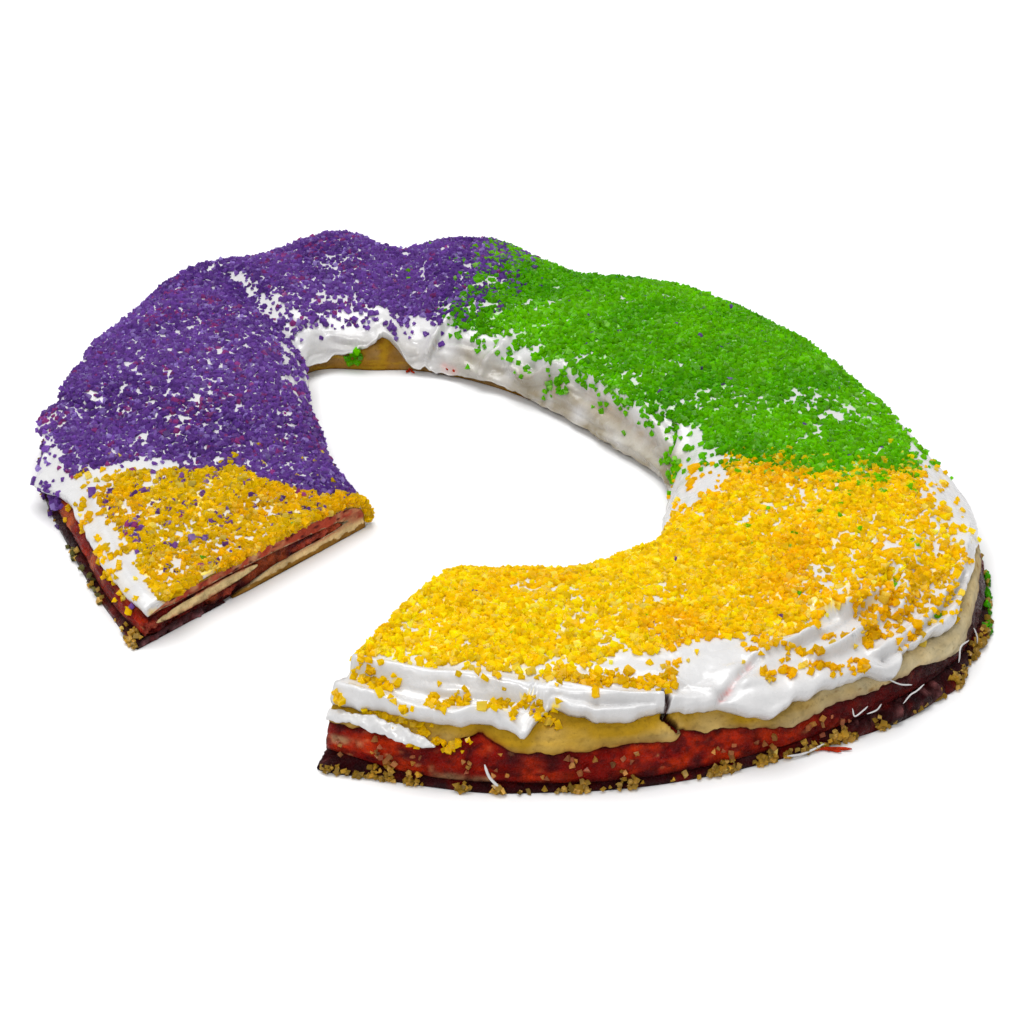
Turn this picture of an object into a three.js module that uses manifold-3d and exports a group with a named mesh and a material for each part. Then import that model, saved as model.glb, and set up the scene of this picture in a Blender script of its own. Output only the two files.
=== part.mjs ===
// A filled, ring-shaped festival cake with a slice cut out, iced in white and strewn with coarse sugar.
// Millimetres, +Z up. The oval's long axis is Y, its short axis is X, and the cake rests on z = 0.
//
// A place on the cake is given by two angles in degrees:
//   around  goes round the oval, anticlockwise from +X;
//   over    goes over the ring's section: 0 at the outer foot, 90 at the crest, 180 at the inner foot.
// Inside a section, share runs from 0 at the outer foot to 1 at the inner foot.
import * as THREE from "three";
import { mergeVertices } from "three/addons/utils/BufferGeometryUtils.js";
import Module from "manifold-3d";

const wasm = await Module();
wasm.setup();

// ---- Driving dimensions ----
const OUTER_AXES = [142, 185]; // half width and half length of the dough's outer outline
const INNER_AXES = [50, 93]; // the same of the hole
const OVAL_CENTRE = [-1.44, 3.64]; // puts the middle of the whole cake's box at the origin
const FRONT_CUT = -144; // around, where the slice was cut out
const LEFT_CUT = 190;
const CREST = 21.5; // height of the dough over most of the ring
const LOW_CREST = 12; // height at the left cut, where the ring sags flat
const ROUNDNESS = [3, 4.6]; // exponent of the section's superellipse: most of the ring, the left cut
const GAP = 0.3; // between pieces that touch
const ICING = 2.3; // thickness of the icing, less its folds
const LIP = 1.2; // how much thicker the icing is along its edge
const DOUGH_LIP = 0.012; // share of the width that the dough's lower lip is deep
const CRYSTAL = 2.9; // the largest grains of sugar
const CRYSTAL_RISE = 0.5; // how far the middle of a grain stands above the icing
const CRYSTALS = 83; // how many of the largest grains are on the icing
const CRYSTAL_SPACING = 13.5;
const RIM_CRYSTALS = 22; // how many are along the outer foot

// Bulges of an outline: middle (around), spread in degrees, millimetres outward.
const OUTER_LOBES = [
  [-142, 14, 6.4],
  [-97, 22, -7.9],
  [-62, 14, 2.2],
  [-45, 10, 2.4],
  [-18, 22, -6],
  [8, 14, -1.5],
  [35, 11, -13.1],
  [52, 6, 4.4],
  [66, 5, -7.6],
  [76, 9, 7.5],
  [88, 8, -4.8],
  [101, 8, 3.4],
  [115, 8, -4.9],
  [128, 14, -6.5],
  [150, 9, 0.4],
  [171, 10, -4],
];
const INNER_LOBES = [
  [-141, 13, 11.5],
  [-118, 10, 3],
  [-88, 22, -9.9],
  [-58, 16, -4.8],
  [-40, 11, -2.1],
  [-20, 13, 5.5],
  [72, 16, 1.5],
  [101, 13, 14.9],
  [118, 8, 1],
  [128, 12, 1.8],
  [145, 10, -1.5],
];
const CREST_LOBES = [
  [-115, 25, 1.8],
  [38, 9, -2.6],
  [52, 9, 0.6],
  [60, 60, -2.4],
  [66, 6, -3.9],
  [76, 9, 1.8],
  [86, 7, -1.5],
  [104, 7, -1.6],
];
// The layers inside follow a smoother crest.
const EVEN_LOBES = [
  [60, 60, -2.4],
  [60, 30, -3.5],
];

// Lower edges, as a base value of over and lobes that change it.
const ICING_OUTER_EDGE = {
  base: 38,
  lobes: [
    [-138, 7, 2.7],
    [-124.9, 1.6, -4.8],
    [-121.5, 2.6, 8],
    [-110, 5, 3.7],
    [-97, 4, -7.7],
    [-86, 3, -2.9],
    [-79.3, 2.4, -8],
    [-66.2, 3.4, -3.6],
    [-40, 9, -5],
    [-12, 12, 3],
    [18, 8, -4],
    [58, 9, -5],
    [97, 8, 4],
    [120, 9, -6],
    [149.5, 3, -8],
    [160.5, 3.4, -15],
  ],
};
const ICING_INNER_EDGE = {
  base: 175,
  lobes: [
    [-125, 12, -8],
    [-70, 15, -8],
    [38, 11.5, -6],
    [64, 3, -5],
    [77.5, 7, -26],
    [87.7, 5.4, -14.5],
    [115, 16, -17],
    [150, 12, -5],
  ],
};
const DOUGH_EDGE = {
  base: 28,
  lobes: [
    [-138, 5, 3.8],
    [-129.3, 2, 9],
    [-113, 4, 1.8],
    [-106, 3, 4],
    [-94, 4, -5.5],
    [-66, 5, -10],
    [-20, 14, 4],
    [40, 12, -5],
    [90, 12, 4],
    [175, 24, 16],
  ],
};

// Folds of the icing: route as [around, over] points, half width, and height (below 0 for a groove).
const FOLDS = [
  {
    route: [[-146, 57.5], [-138.6, 57.7], [-132, 57], [-124.8, 54.1], [-121.5, 51.2], [-110, 46]],
    half: 2.4,
    height: 1.9,
  },
  {
    route: [[-146, 53.4], [-138.2, 51.6], [-133.3, 49.4], [-126.3, 48.8], [-122.5, 47]],
    half: 2.2,
    height: -2.4,
  },
  {
    route: [[-146, 45.8], [-140.3, 45.1], [-134.2, 42.8], [-130.4, 44.6], [-125.5, 39.5]],
    half: 2,
    height: 1.6,
  },
  { route: [[-122.3, 45.8], [-113, 43.2], [-109.6, 42.6]], half: 2, height: 1.2 },
  { route: [[-99, 45], [-97, 39], [-96.6, 35]], half: 6, height: 2.2 },
  { route: [[-95.5, 54], [-98, 50.5], [-100.8, 45.5], [-103, 41]], half: 1.8, height: -1.8 },
  { route: [[-95.5, 55.5], [-87.7, 57.8], [-83.6, 60]], half: 2, height: 1.6 },
  { route: [[-92, 42.5], [-86, 42], [-82, 38]], half: 3.6, height: 1.4 },
  { route: [[-73.5, 58.4], [-82, 55.6], [-87, 54]], half: 2.6, height: -3 },
  {
    route: [[-79.4, 69.3], [-74.5, 62], [-69.8, 58.4], [-76.6, 53.2], [-84.1, 49.4], [-87.5, 49]],
    half: 2,
    height: 2.4,
  },
  { route: [[-79.6, 42.6], [-69.9, 44.4], [-59.6, 44.8], [-46, 42]], half: 2, height: 1.8 },
  { route: [[-53, 60], [-60, 62], [-66, 68]], half: 2.6, height: 1.6 },
  { route: [[100, 60], [102, 106], [105, 142]], half: 4, height: -2.2 },
  { route: [[64, 60], [61, 114], [56, 147]], half: 4, height: -1.6 },
  { route: [[145, 38], [149, 54], [153, 73]], half: 3.4, height: -1.6 },
  { route: [[55.2, 131], [58.8, 141.8], [62.9, 157.6]], half: 2, height: 2.6 },
  { route: [[37.4, 133.8], [39.1, 142.8], [41.9, 152.6], [43, 162]], half: 2.2, height: 2.8 },
  {
    route: [[34.5, 146], [33.2, 151.9], [27.6, 155.5], [22.7, 145.4], [20.5, 140]],
    half: 2.2,
    height: 2.8,
  },
  {
    route: [[18, 141], [8.3, 139.2], [-2.7, 139.6], [-12.5, 145], [-16.1, 149.7]],
    half: 2.2,
    height: 1.8,
  },
  { route: [[12, 151], [4, 151.5], [-4, 153], [-13, 156]], half: 2.8, height: -2 },
  { route: [[-14.5, 134], [-18.5, 140], [-22.5, 147], [-25, 156]], half: 2.4, height: 1.9 },
  { route: [[146, 58], [150, 40], [156, 28]], half: 6, height: 2 },
  { route: [[160, 30], [161, 24], [160.5, 20]], half: 3.2, height: 1.8 },
  { route: [[166, 52], [172, 48], [180, 46], [188, 44]], half: 2.4, height: 1 },
];

// The crack in the outer side, and the loose strip of icing: places as [around, over].
const CRACK = { top: [-109.2, 47], foot: [-108, 22], depth: 9, width: 1.1 };
const STRIP = {
  route: [[-144, 33.8], [-141, 35.4], [-138.5, 34.4], [-136, 32], [-133.2, 28.8]],
  halves: [3.4, 3.4, 3.8, 3.8, 1.4],
  rise: 1.3,
  thickness: 2.4,
  steps: 12,
  sides: 8,
};

// Where the sections stand: from, to and step in degrees, closest round the notch at the back.
const STATION_RUNS = [
  [FRONT_CUT, -60, 6],
  [-60, 44, 8],
  [44, 112, 4.2],
  [112, LEFT_CUT, 6.5],
];
const ICING_STATION_RUNS = [
  [FRONT_CUT, -60, 3],
  [-60, 44, 5],
  [44, 112, 3.4],
  [112, LEFT_CUT, 4.6],
];
const DOUGH_SHARES = [0, 0.07, 0.15, 0.26, 0.42, 0.58, 0.7, 0.8, 0.9, 1];
const ICING_SHARES = [0.015, 0.05, 0.085, 0.12, 0.16, 0.22, 0.34, 0.48, 0.6, 0.7, 0.78, 0.86, 0.985];

// The cavity in the dough that the filling takes: [share, height as a share of the crest].
const FLOOR_OF_CAVITY = [
  [0.43, 0.08],
  [0.57, 0.33],
  [0.85, 0.37],
];
const BACK_OF_CAVITY = [
  [0.92, 0.46],
  [0.9, 0.58],
];
const ROOF_OF_CAVITY = [
  [0.66, 0.69],
  [0.35, 0.76],
  [0.12, 0.74],
];
const DOUGH_FOOT = 0.38; // share where the flat bottom of the dough begins
const JAM_TOP = [
  [0.05, 0.16],
  [0.14, 0.27],
  [0.25, 0.25],
  [0.34, 0.05],
];
// How far the jam stands out at the foot, and the height of its outer face.
const JAM_OUT = {
  base: 0.5,
  lobes: [
    [-144, 3.5, 3.6],
    [-128, 4, 0.9],
    [-76, 9, 2.2],
    [-69, 2.5, 2],
    [-58, 5, 1.8],
    [-10, 12, 1.2],
    [30, 9, 1.6],
    [84, 8, 1],
    [122, 10, 1.4],
    [172, 7, 1],
    [189, 3, 2],
  ],
};
const JAM_FACE = {
  base: 2.2,
  lobes: [
    [-141, 6, 1.6],
    [-118, 18, -1.1],
    [-78, 12, 2.2],
    [-20, 14, 1],
    [60, 14, 1],
    [150, 12, 0.8],
  ],
};
const MIDDLE = { from: 0.15, fromAtCut: 0.06, to: 0.5, height: 0.53, halfHeight: 0.155, sides: 6 };

// ---- Small helpers ----
const radians = (degrees) => (degrees * Math.PI) / 180;
const wrap = (degrees) => ((((degrees + 180) % 360) + 360) % 360) - 180;

function ease(from, to, value) {
  const share = Math.min(Math.max((value - from) / (to - from), 0), 1);
  return share * share * (3 - 2 * share);
}

function lobeSum(around, lobes) {
  return lobes.reduce((sum, [middle, spread, size]) => {
    return sum + size * Math.exp(-((wrap(around - middle) / spread) ** 2));
  }, 0);
}

const valueAt = (around, rule) => rule.base + lobeSum(around, rule.lobes);

// Seeded random numbers from 0 to 1.
function randomSource(seed) {
  let state = seed;
  return () => {
    state = (state + 0x6d2b79f5) | 0;
    let mixed = Math.imul(state ^ (state >>> 15), 1 | state);
    mixed = (mixed + Math.imul(mixed ^ (mixed >>> 7), 61 | mixed)) ^ mixed;
    return ((mixed ^ (mixed >>> 14)) >>> 0) / 4294967296;
  };
}

function stationsOf(runs) {
  const stations = [];
  for (const [from, to, step] of runs) {
    const count = Math.round((to - from) / step);
    for (let i = 0; i < count; i++) stations.push(from + ((to - from) * i) / count);
  }
  stations.push(runs[runs.length - 1][1]);
  return stations;
}

// ---- The ring ----
function outlinePoint(around, axes, bulge) {
  const x = axes[0] * Math.cos(radians(around));
  const y = axes[1] * Math.sin(radians(around));
  const normal = [x / axes[0] ** 2, y / axes[1] ** 2];
  const length = Math.hypot(...normal);
  return [x + (bulge * normal[0]) / length, y + (bulge * normal[1]) / length];
}

// The cuts aren't radial: the inner end of a section runs ahead of the outer one there.
const innerAround = (around) => around + 6 * (1 - ease(-146, -110, around)) - 7 * ease(160, 190, around);

// The upright plane of a section, with its width, height and roundness.
function planeAt(around) {
  const outer = outlinePoint(around, OUTER_AXES, lobeSum(around, OUTER_LOBES));
  const inner = outlinePoint(innerAround(around), INNER_AXES, lobeSum(innerAround(around), INNER_LOBES));
  const out = [outer[0] - inner[0], outer[1] - inner[1]];
  const width = Math.hypot(...out);
  const sag = ease(135, 172, around);
  const crest = CREST + lobeSum(around, CREST_LOBES);
  const evenCrest = CREST + lobeSum(around, EVEN_LOBES);
  return {
    outer,
    out: [out[0] / width, out[1] / width],
    width,
    crest: crest + (LOW_CREST - crest) * sag,
    evenCrest: evenCrest + (LOW_CREST - evenCrest) * sag,
    roundness: ROUNDNESS[0] + (ROUNDNESS[1] - ROUNDNESS[0]) * ease(140, 180, around),
  };
}

// A point of the section's outer skin as [distance in from the outer foot, height], moved out by offset.
function skinPoint(plane, over, offset) {
  const { width, crest, roundness } = plane;
  const half = width / 2;
  const cos = Math.cos(radians(over));
  const sin = Math.sin(radians(over));
  const reach = 1 / (Math.abs(cos) ** roundness + Math.abs(sin) ** roundness) ** (1 / roundness);
  const side = half * cos * reach;
  const height = crest * sin * reach;
  const normalSide = (Math.sign(side) * Math.abs(side / half) ** (roundness - 1)) / half;
  const normalUp = Math.abs(height / crest) ** (roundness - 1) / crest;
  const length = Math.hypot(normalSide, normalUp);
  return [half - side - (offset * normalSide) / length, height + (offset * normalUp) / length];
}

const insidePoint = (plane, [share, height]) => [share * plane.width, height * plane.evenCrest];

// A section's [distance in, height] as a point of the cake.
function inSpace(plane, [distance, height]) {
  return new THREE.Vector3(
    plane.outer[0] - plane.out[0] * distance - OVAL_CENTRE[0],
    plane.outer[1] - plane.out[1] * distance - OVAL_CENTRE[1],
    height,
  );
}

const onSkin = (around, over, offset) => {
  const plane = planeAt(around);
  return inSpace(plane, skinPoint(plane, over, offset));
};

// ---- Solids ----
// Moves each corner of a closed profile inward by gap. The profile runs so that its inside is on the right.
function inset(profile, gap) {
  return profile.map((point, i) => {
    const before = profile[(i + profile.length - 1) % profile.length];
    const after = profile[(i + 1) % profile.length];
    const first = new THREE.Vector2(point[0] - before[0], point[1] - before[1]).normalize();
    const second = new THREE.Vector2(after[0] - point[0], after[1] - point[1]).normalize();
    const normal = new THREE.Vector2(first.y + second.y, -first.x - second.x).normalize();
    const miter = gap / Math.max(normal.x * first.y - normal.y * first.x, 0.5);
    return [point[0] + normal.x * miter, point[1] + normal.y * miter];
  });
}

// Skins sections, which are closed profiles with equal counts of points, and caps both ends.
// A piece whose profile runs back along its neighbour's is mirrored, so that their facets stay parallel.
function sweep(arounds, profileAt, mirrored = false) {
  const points = [];
  const faces = [];
  const profiles = arounds.map((around) => {
    const plane = planeAt(around);
    const profile = profileAt(around, plane);
    points.push(...profile.map((point) => inSpace(plane, point)));
    return profile;
  });
  const count = profiles[0].length;
  for (let i = 0; i + 1 < arounds.length; i++) {
    for (let j = 0; j < count; j++) {
      const a = i * count + j;
      const b = i * count + ((j + 1) % count);
      if (mirrored) faces.push([a, a + count, b + count], [a, b + count, b]);
      else faces.push([a, a + count, b], [b, a + count, b + count]);
    }
  }
  const capEnd = (profile, start, turned) => {
    const outline = profile.map((point) => new THREE.Vector2(...point));
    for (const [a, b, c] of THREE.ShapeUtils.triangulateShape(outline, [])) {
      const area = THREE.ShapeUtils.area([outline[a], outline[b], outline[c]]);
      const corners = area > 0 === turned ? [a, b, c] : [a, c, b];
      faces.push(corners.map((corner) => start + corner));
    }
  };
  capEnd(profiles[0], 0, false);
  capEnd(profiles[profiles.length - 1], (arounds.length - 1) * count, true);
  const geometry = new THREE.BufferGeometry().setFromPoints(points);
  geometry.setIndex(faces.flat());
  return geometry;
}

function solidOf(geometry) {
  const bare = geometry.clone();
  bare.deleteAttribute("normal");
  bare.deleteAttribute("uv");
  const merged = mergeVertices(bare);
  return new wasm.Manifold(
    new wasm.Mesh({
      numProp: 3,
      vertProperties: new Float32Array(merged.attributes.position.array),
      triVerts: new Uint32Array(merged.index.array),
    }),
  );
}

// The largest body of a solid as a geometry: scraps that a cut leaves loose are dropped.
function geometryOf(solid) {
  const bodies = solid.decompose().sort((a, b) => b.volume() - a.volume());
  const mesh = bodies[0].getMesh();
  const geometry = new THREE.BufferGeometry();
  geometry.setAttribute("position", new THREE.BufferAttribute(new Float32Array(mesh.vertProperties), 3));
  geometry.setIndex(new THREE.BufferAttribute(new Uint32Array(mesh.triVerts), 1));
  return geometry;
}

// ---- Dough, filling and jam ----
const stations = stationsOf(STATION_RUNS);
const middleStations = stationsOf([[FRONT_CUT, LEFT_CUT, 12]]);

const doughOver = (around) => {
  const edge = valueAt(around, DOUGH_EDGE);
  return DOUGH_SHARES.map((share) => edge + (180 - edge) * share);
};

// The lower lip of the dough, from its outer face in to the cavity's roof.
function doughLip(around, plane) {
  const [distance, height] = skinPoint(plane, valueAt(around, DOUGH_EDGE), 0);
  return [distance + DOUGH_LIP * plane.width + 3, height + 0.2];
}

function cavity(plane) {
  return [...FLOOR_OF_CAVITY, ...BACK_OF_CAVITY, ...ROOF_OF_CAVITY].map((at) => insidePoint(plane, at));
}

// One piece of dough, open along its outer side like a folded sheet.
function doughProfile(around, plane) {
  return [
    ...doughOver(around).map((over) => skinPoint(plane, over, 0)),
    [DOUGH_FOOT * plane.width, 0],
    ...cavity(plane),
    doughLip(around, plane),
  ];
}

function jamProfile(around, plane) {
  const out = -valueAt(around, JAM_OUT);
  const face = valueAt(around, JAM_FACE);
  const top = JAM_TOP.map((at) => insidePoint(plane, at));
  return [[out, 0], [out, face * 0.7], [0.8, face + 0.6], ...top, [(DOUGH_FOOT - 0.025) * plane.width, 0]];
}

function fillingProfile(around, plane) {
  const edge = valueAt(around, DOUGH_EDGE);
  const aboveJam = valueAt(around, JAM_FACE) + 1.4;
  const low = Math.min((Math.asin(aboveJam / plane.crest) * 180) / Math.PI, edge - 4);
  const face = [low, 0.96 * edge].map((over) => skinPoint(plane, over, -0.5));
  const profile = [
    ...jamProfile(around, plane).slice(2, -1).reverse(),
    ...face,
    doughLip(around, plane),
    ...cavity(plane).reverse(),
  ];
  return inset(profile, GAP);
}

// The middle layer of dough is a flat lens inside the filling, and grow makes room round it.
function middleProfile(grow) {
  return (around, plane) => {
    const from = MIDDLE.from + (MIDDLE.fromAtCut - MIDDLE.from) * ease(165, 188, around);
    const profile = [];
    for (let i = 0; i < MIDDLE.sides; i++) {
      const turn = (2 * Math.PI * i) / MIDDLE.sides;
      const share = (from + MIDDLE.to) / 2 - ((MIDDLE.to - from) / 2) * Math.cos(turn);
      const height = MIDDLE.height + MIDDLE.halfHeight * Math.sin(turn);
      profile.push(insidePoint(plane, [share, height]));
    }
    return inset(profile, -grow);
  };
}

// The whole ring without its hollow, grown by the gap, which the icing is cut with.
function ringBlank() {
  const beyond = [FRONT_CUT - 3, ...stations, LEFT_CUT + 3];
  const profile = (around, plane) => {
    const edge = valueAt(around, DOUGH_EDGE);
    const skin = [0, edge / 2, ...doughOver(around)].map((over) => skinPoint(plane, over, GAP));
    const under = -4;
    return [[skin[0][0], under], ...skin, [skin[skin.length - 1][0], under]];
  };
  return solidOf(sweep(beyond, profile));
}

// ---- Icing ----
const foldRoutes = FOLDS.map(({ route, half, height }) => {
  return { half, height, points: route.map(([around, over]) => onSkin(around, over, ICING)) };
});

function distanceToRoute(point, points) {
  const nearest = new THREE.Vector3();
  let least = Infinity;
  for (let i = 0; i + 1 < points.length; i++) {
    new THREE.Line3(points[i], points[i + 1]).closestPointToPoint(point, true, nearest);
    least = Math.min(least, nearest.distanceTo(point));
  }
  return least;
}

// Thickness of the icing at a place, with its lip and folds.
function icingAt(around, over) {
  const fromOuter = over - valueAt(around, ICING_OUTER_EDGE);
  const fromInner = valueAt(around, ICING_INNER_EDGE) - over;
  const toEdge = Math.min(fromOuter, fromInner);
  const point = onSkin(around, over, ICING);
  const folds = foldRoutes.reduce((sum, fold) => {
    return sum + fold.height * Math.exp(-((distanceToRoute(point, fold.points) / fold.half) ** 2));
  }, 0);
  return GAP + ICING + LIP * Math.exp(-((toEdge / 6) ** 2)) + folds;
}

function icingProfile(around, plane) {
  const from = valueAt(around, ICING_OUTER_EDGE);
  const to = valueAt(around, ICING_INNER_EDGE);
  const overAt = (share) => from + (to - from) * share;
  const inside = -1.5;
  return [
    skinPoint(plane, from, inside),
    skinPoint(plane, from - 1, 1.6),
    ...ICING_SHARES.map((share) => skinPoint(plane, overAt(share), icingAt(around, overAt(share)))),
    skinPoint(plane, to + 0.5, 1.4),
    skinPoint(plane, to, inside),
    ...[0.8, 0.5, 0.2].map((share) => skinPoint(plane, overAt(share), inside)),
  ];
}

// An uneven grain of sugar: a block with its corners moved a little.
function crystal(random, size) {
  const block = new THREE.BoxGeometry(size, size * (0.7 + 0.3 * random()), size * 0.7);
  const geometry = mergeVertices(block.deleteAttribute("normal").deleteAttribute("uv"));
  const corners = geometry.attributes.position;
  for (let i = 0; i < corners.count; i++) {
    const shift = () => (random() - 0.5) * 0.3 * size;
    corners.setXYZ(i, corners.getX(i) + shift(), corners.getY(i) + shift(), corners.getZ(i) + shift());
  }
  return geometry;
}

// Lays a grain on the skin, leaning a little, with its middle at the given offset.
function crystalOn(random, size, around, over, offset) {
  const place = onSkin(around, over, offset);
  const outward = onSkin(around, over, offset + 1).sub(place);
  const up = new THREE.Vector3(0, 0, 1);
  const upright = new THREE.Quaternion().setFromUnitVectors(up, outward.normalize());
  const lean = new THREE.Euler((random() - 0.5) * 0.7, (random() - 0.5) * 0.7, random() * Math.PI);
  upright.multiply(new THREE.Quaternion().setFromEuler(lean));
  const matrix = new THREE.Matrix4().compose(place, upright, new THREE.Vector3(1, 1, 1));
  return solidOf(crystal(random, size).applyMatrix4(matrix));
}

// The largest grains, spread evenly over the strewn band of the icing.
function icingCrystals() {
  const random = randomSource(7);
  const placed = [];
  const solids = [];
  for (let tries = 0; tries < 6000 && solids.length < CRYSTALS; tries++) {
    const around = FRONT_CUT + 2 + (LEFT_CUT - FRONT_CUT - 4) * random();
    const over = 60 + 82 * random();
    const place = onSkin(around, over, 0);
    if (placed.some((other) => other.distanceTo(place) < CRYSTAL_SPACING)) continue;
    placed.push(place);
    const size = CRYSTAL * (0.85 + 0.3 * random());
    solids.push(crystalOn(random, size, around, over, icingAt(around, over) + CRYSTAL_RISE));
  }
  return solids;
}

// The crack that runs up the outer side through the dough's lip and the icing's edge.
function crack() {
  const top = onSkin(...CRACK.top, 1);
  const foot = onSkin(...CRACK.foot, 1);
  const middle = top.clone().add(foot).multiplyScalar(0.5);
  const box = new THREE.BoxGeometry(CRACK.depth, CRACK.width, top.distanceTo(foot));
  const basis = new THREE.Matrix4();
  const up = top.clone().sub(foot).normalize();
  const out = onSkin(...CRACK.foot, 1).sub(onSkin(...CRACK.foot, 0)).normalize();
  const along = new THREE.Vector3().crossVectors(up, out).normalize();
  basis.makeBasis(new THREE.Vector3().crossVectors(along, up), along, up).setPosition(middle);
  return solidOf(box.applyMatrix4(basis));
}

function icingGeometry(blank, cut) {
  const raw = solidOf(sweep(stationsOf(ICING_STATION_RUNS), icingProfile));
  const grains = icingCrystals();
  return geometryOf(wasm.Manifold.union([raw, ...grains]).subtract(blank).subtract(cut));
}

// A loose strip of icing that lies on the filling near the front cut.
function lowerIcingGeometry() {
  const { route, halves, rise, thickness, steps, sides } = STRIP;
  const points = [];
  for (let i = 0; i <= steps; i++) {
    const at = (i / steps) * (route.length - 1);
    const low = Math.min(Math.floor(at), route.length - 2);
    const mix = (list) => THREE.MathUtils.lerp(list[low], list[low + 1], at - low);
    const around = mix(route.map((place) => place[0]));
    const over = mix(route.map((place) => place[1]));
    const half = mix(halves);
    for (let j = 0; j < sides; j++) {
      const turn = (2 * Math.PI * j) / sides;
      const lift = GAP + rise + (thickness / 2) * Math.sin(turn);
      points.push(onSkin(around, over - half * Math.cos(turn), lift));
    }
  }
  const faces = [];
  for (let i = 0; i < steps; i++) {
    for (let j = 0; j < sides; j++) {
      const a = i * sides + j;
      const b = i * sides + ((j + 1) % sides);
      faces.push([a, a + sides, b], [b, a + sides, b + sides]);
    }
  }
  const last = steps * sides;
  for (let j = 1; j + 1 < sides; j++) {
    faces.push([0, j, j + 1], [last, last + j + 1, last + j]);
  }
  const geometry = new THREE.BufferGeometry().setFromPoints(points);
  geometry.setIndex(faces.flat());
  return geometry;
}

// ---- Assembly ----
const FINISHES = {
  dough: { color: 0xc9a860, roughness: 0.75 },
  middle_dough: { color: 0xd2b988, roughness: 0.85 },
  filling: { color: 0x8f1a10, roughness: 0.28 },
  jam_rim: { color: 0x34060f, roughness: 0.25 },
  icing: { color: 0xeeeef0, roughness: 0.35 },
  lower_icing: { color: 0xeeeef0, roughness: 0.35 },
};

function piece(name, geometry) {
  const finish = FINISHES[name];
  const material = new THREE.MeshStandardMaterial({ ...finish, metalness: 0 });
  const mesh = new THREE.Mesh(geometry, material);
  mesh.name = name;
  return mesh;
}

function doughGeometry(cut) {
  return geometryOf(solidOf(sweep(stations, doughProfile)).subtract(cut));
}

function fillingGeometry() {
  const whole = solidOf(sweep(stations, fillingProfile, true));
  const beyond = [FRONT_CUT - 3, ...middleStations, LEFT_CUT + 3];
  return geometryOf(whole.subtract(solidOf(sweep(beyond, middleProfile(GAP)))));
}

// Grains of sugar stuck in the jam along the outer foot.
function jamGeometry() {
  const random = randomSource(11);
  const rim = solidOf(sweep(stations, jamProfile));
  const grains = [];
  for (let i = 0; i < RIM_CRYSTALS; i++) {
    const share = (i + 0.2 + 0.6 * random()) / RIM_CRYSTALS;
    const around = FRONT_CUT + 3 + (LEFT_CUT - FRONT_CUT - 6) * share;
    const plane = planeAt(around);
    const size = CRYSTAL * (0.8 + 0.25 * random());
    const place = inSpace(plane, [-valueAt(around, JAM_OUT) - 0.5, 0.55 * size]);
    const turn = new THREE.Matrix4().makeRotationZ(random() * Math.PI).setPosition(place);
    grains.push(solidOf(crystal(random, size).applyMatrix4(turn)));
  }
  return geometryOf(wasm.Manifold.union([rim, ...grains]));
}

const cake = new THREE.Group();
const cut = crack();
const blank = ringBlank();
cake.add(piece("dough", doughGeometry(cut)));
cake.add(piece("middle_dough", sweep(middleStations, middleProfile(0))));
cake.add(piece("filling", fillingGeometry()));
cake.add(piece("jam_rim", jamGeometry()));
cake.add(piece("icing", icingGeometry(blank, cut)));
cake.add(piece("lower_icing", lowerIcingGeometry()));

export default cake;
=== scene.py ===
import math

import bpy
import numpy as np
from bpy.props import FloatProperty, FloatVectorProperty, IntProperty, PointerProperty
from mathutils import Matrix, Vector
from mathutils import geometry as flat_geometry


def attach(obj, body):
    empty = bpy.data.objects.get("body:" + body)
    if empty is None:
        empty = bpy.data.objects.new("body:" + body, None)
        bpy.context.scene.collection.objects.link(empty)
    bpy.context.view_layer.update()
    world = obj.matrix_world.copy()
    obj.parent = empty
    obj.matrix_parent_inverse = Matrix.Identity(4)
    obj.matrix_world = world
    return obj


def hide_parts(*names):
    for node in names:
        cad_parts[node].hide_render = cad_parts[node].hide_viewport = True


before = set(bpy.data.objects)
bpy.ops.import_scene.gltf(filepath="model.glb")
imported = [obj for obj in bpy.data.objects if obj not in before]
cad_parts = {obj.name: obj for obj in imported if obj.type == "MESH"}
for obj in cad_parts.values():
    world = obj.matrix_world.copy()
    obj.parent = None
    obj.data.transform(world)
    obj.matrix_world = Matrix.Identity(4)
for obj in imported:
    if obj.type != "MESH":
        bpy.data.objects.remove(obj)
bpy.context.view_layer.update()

bl_info = {
    "name": "King Cake",
    "version": (1, 0, 0),
    "blender": (4, 5, 0),
    "location": "3D View > Sidebar > Cake",
    "description": "Dresses a filled, iced and sugared ring cake with a slice cut out",
    "category": "Object",
}

# A place on the cake is given by two angles in degrees: around goes round the oval, anticlockwise
# from +X, and over goes over the ring's section, from 0 at the outer foot by 90 at the crest to 180
# at the inner foot. Inside a section, share runs from 0 at the outer foot to 1 at the inner foot.
# Lengths are in millimetres until a mesh is made, which is in metres.
MM = 0.001
# Keeps a division by a length that can be 0 finite.
TINY = 1e-9

# ---- The ring, as in the solids ----
# Half axes of the oval outline and of the oval hole, and the ovals' centre in the frame's x and y.
OUTER_AXES = (142.0, 185.0)
INNER_AXES = (50.0, 93.0)
OVAL_CENTRE = (-1.44, 3.64)
# Where the two cuts are (around), and how far the inner end of a section runs ahead there, in degrees.
FRONT_CUT = -144.0
LEFT_CUT = 190.0
FRONT_SKEW = 6
LEFT_SKEW = 7
# Height of the dough's crest, which sags to the low one over this stretch (around).
CREST = 21.5
LOW_CREST = 12.0
SAG = (135, 172)
# Power of the section's rounded outline, which gets squarer over this stretch (around).
ROUNDNESS = (3.0, 4.6)
SQUARER = (140, 180)
# Space under the icing, its thickness, and how much thicker it is along its edges.
GAP = 0.3
ICING = 2.3
LIP = 1.2
# Nothing that lies on the floor starts lower than this.
FLOOR_SPACE = 0.02

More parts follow.
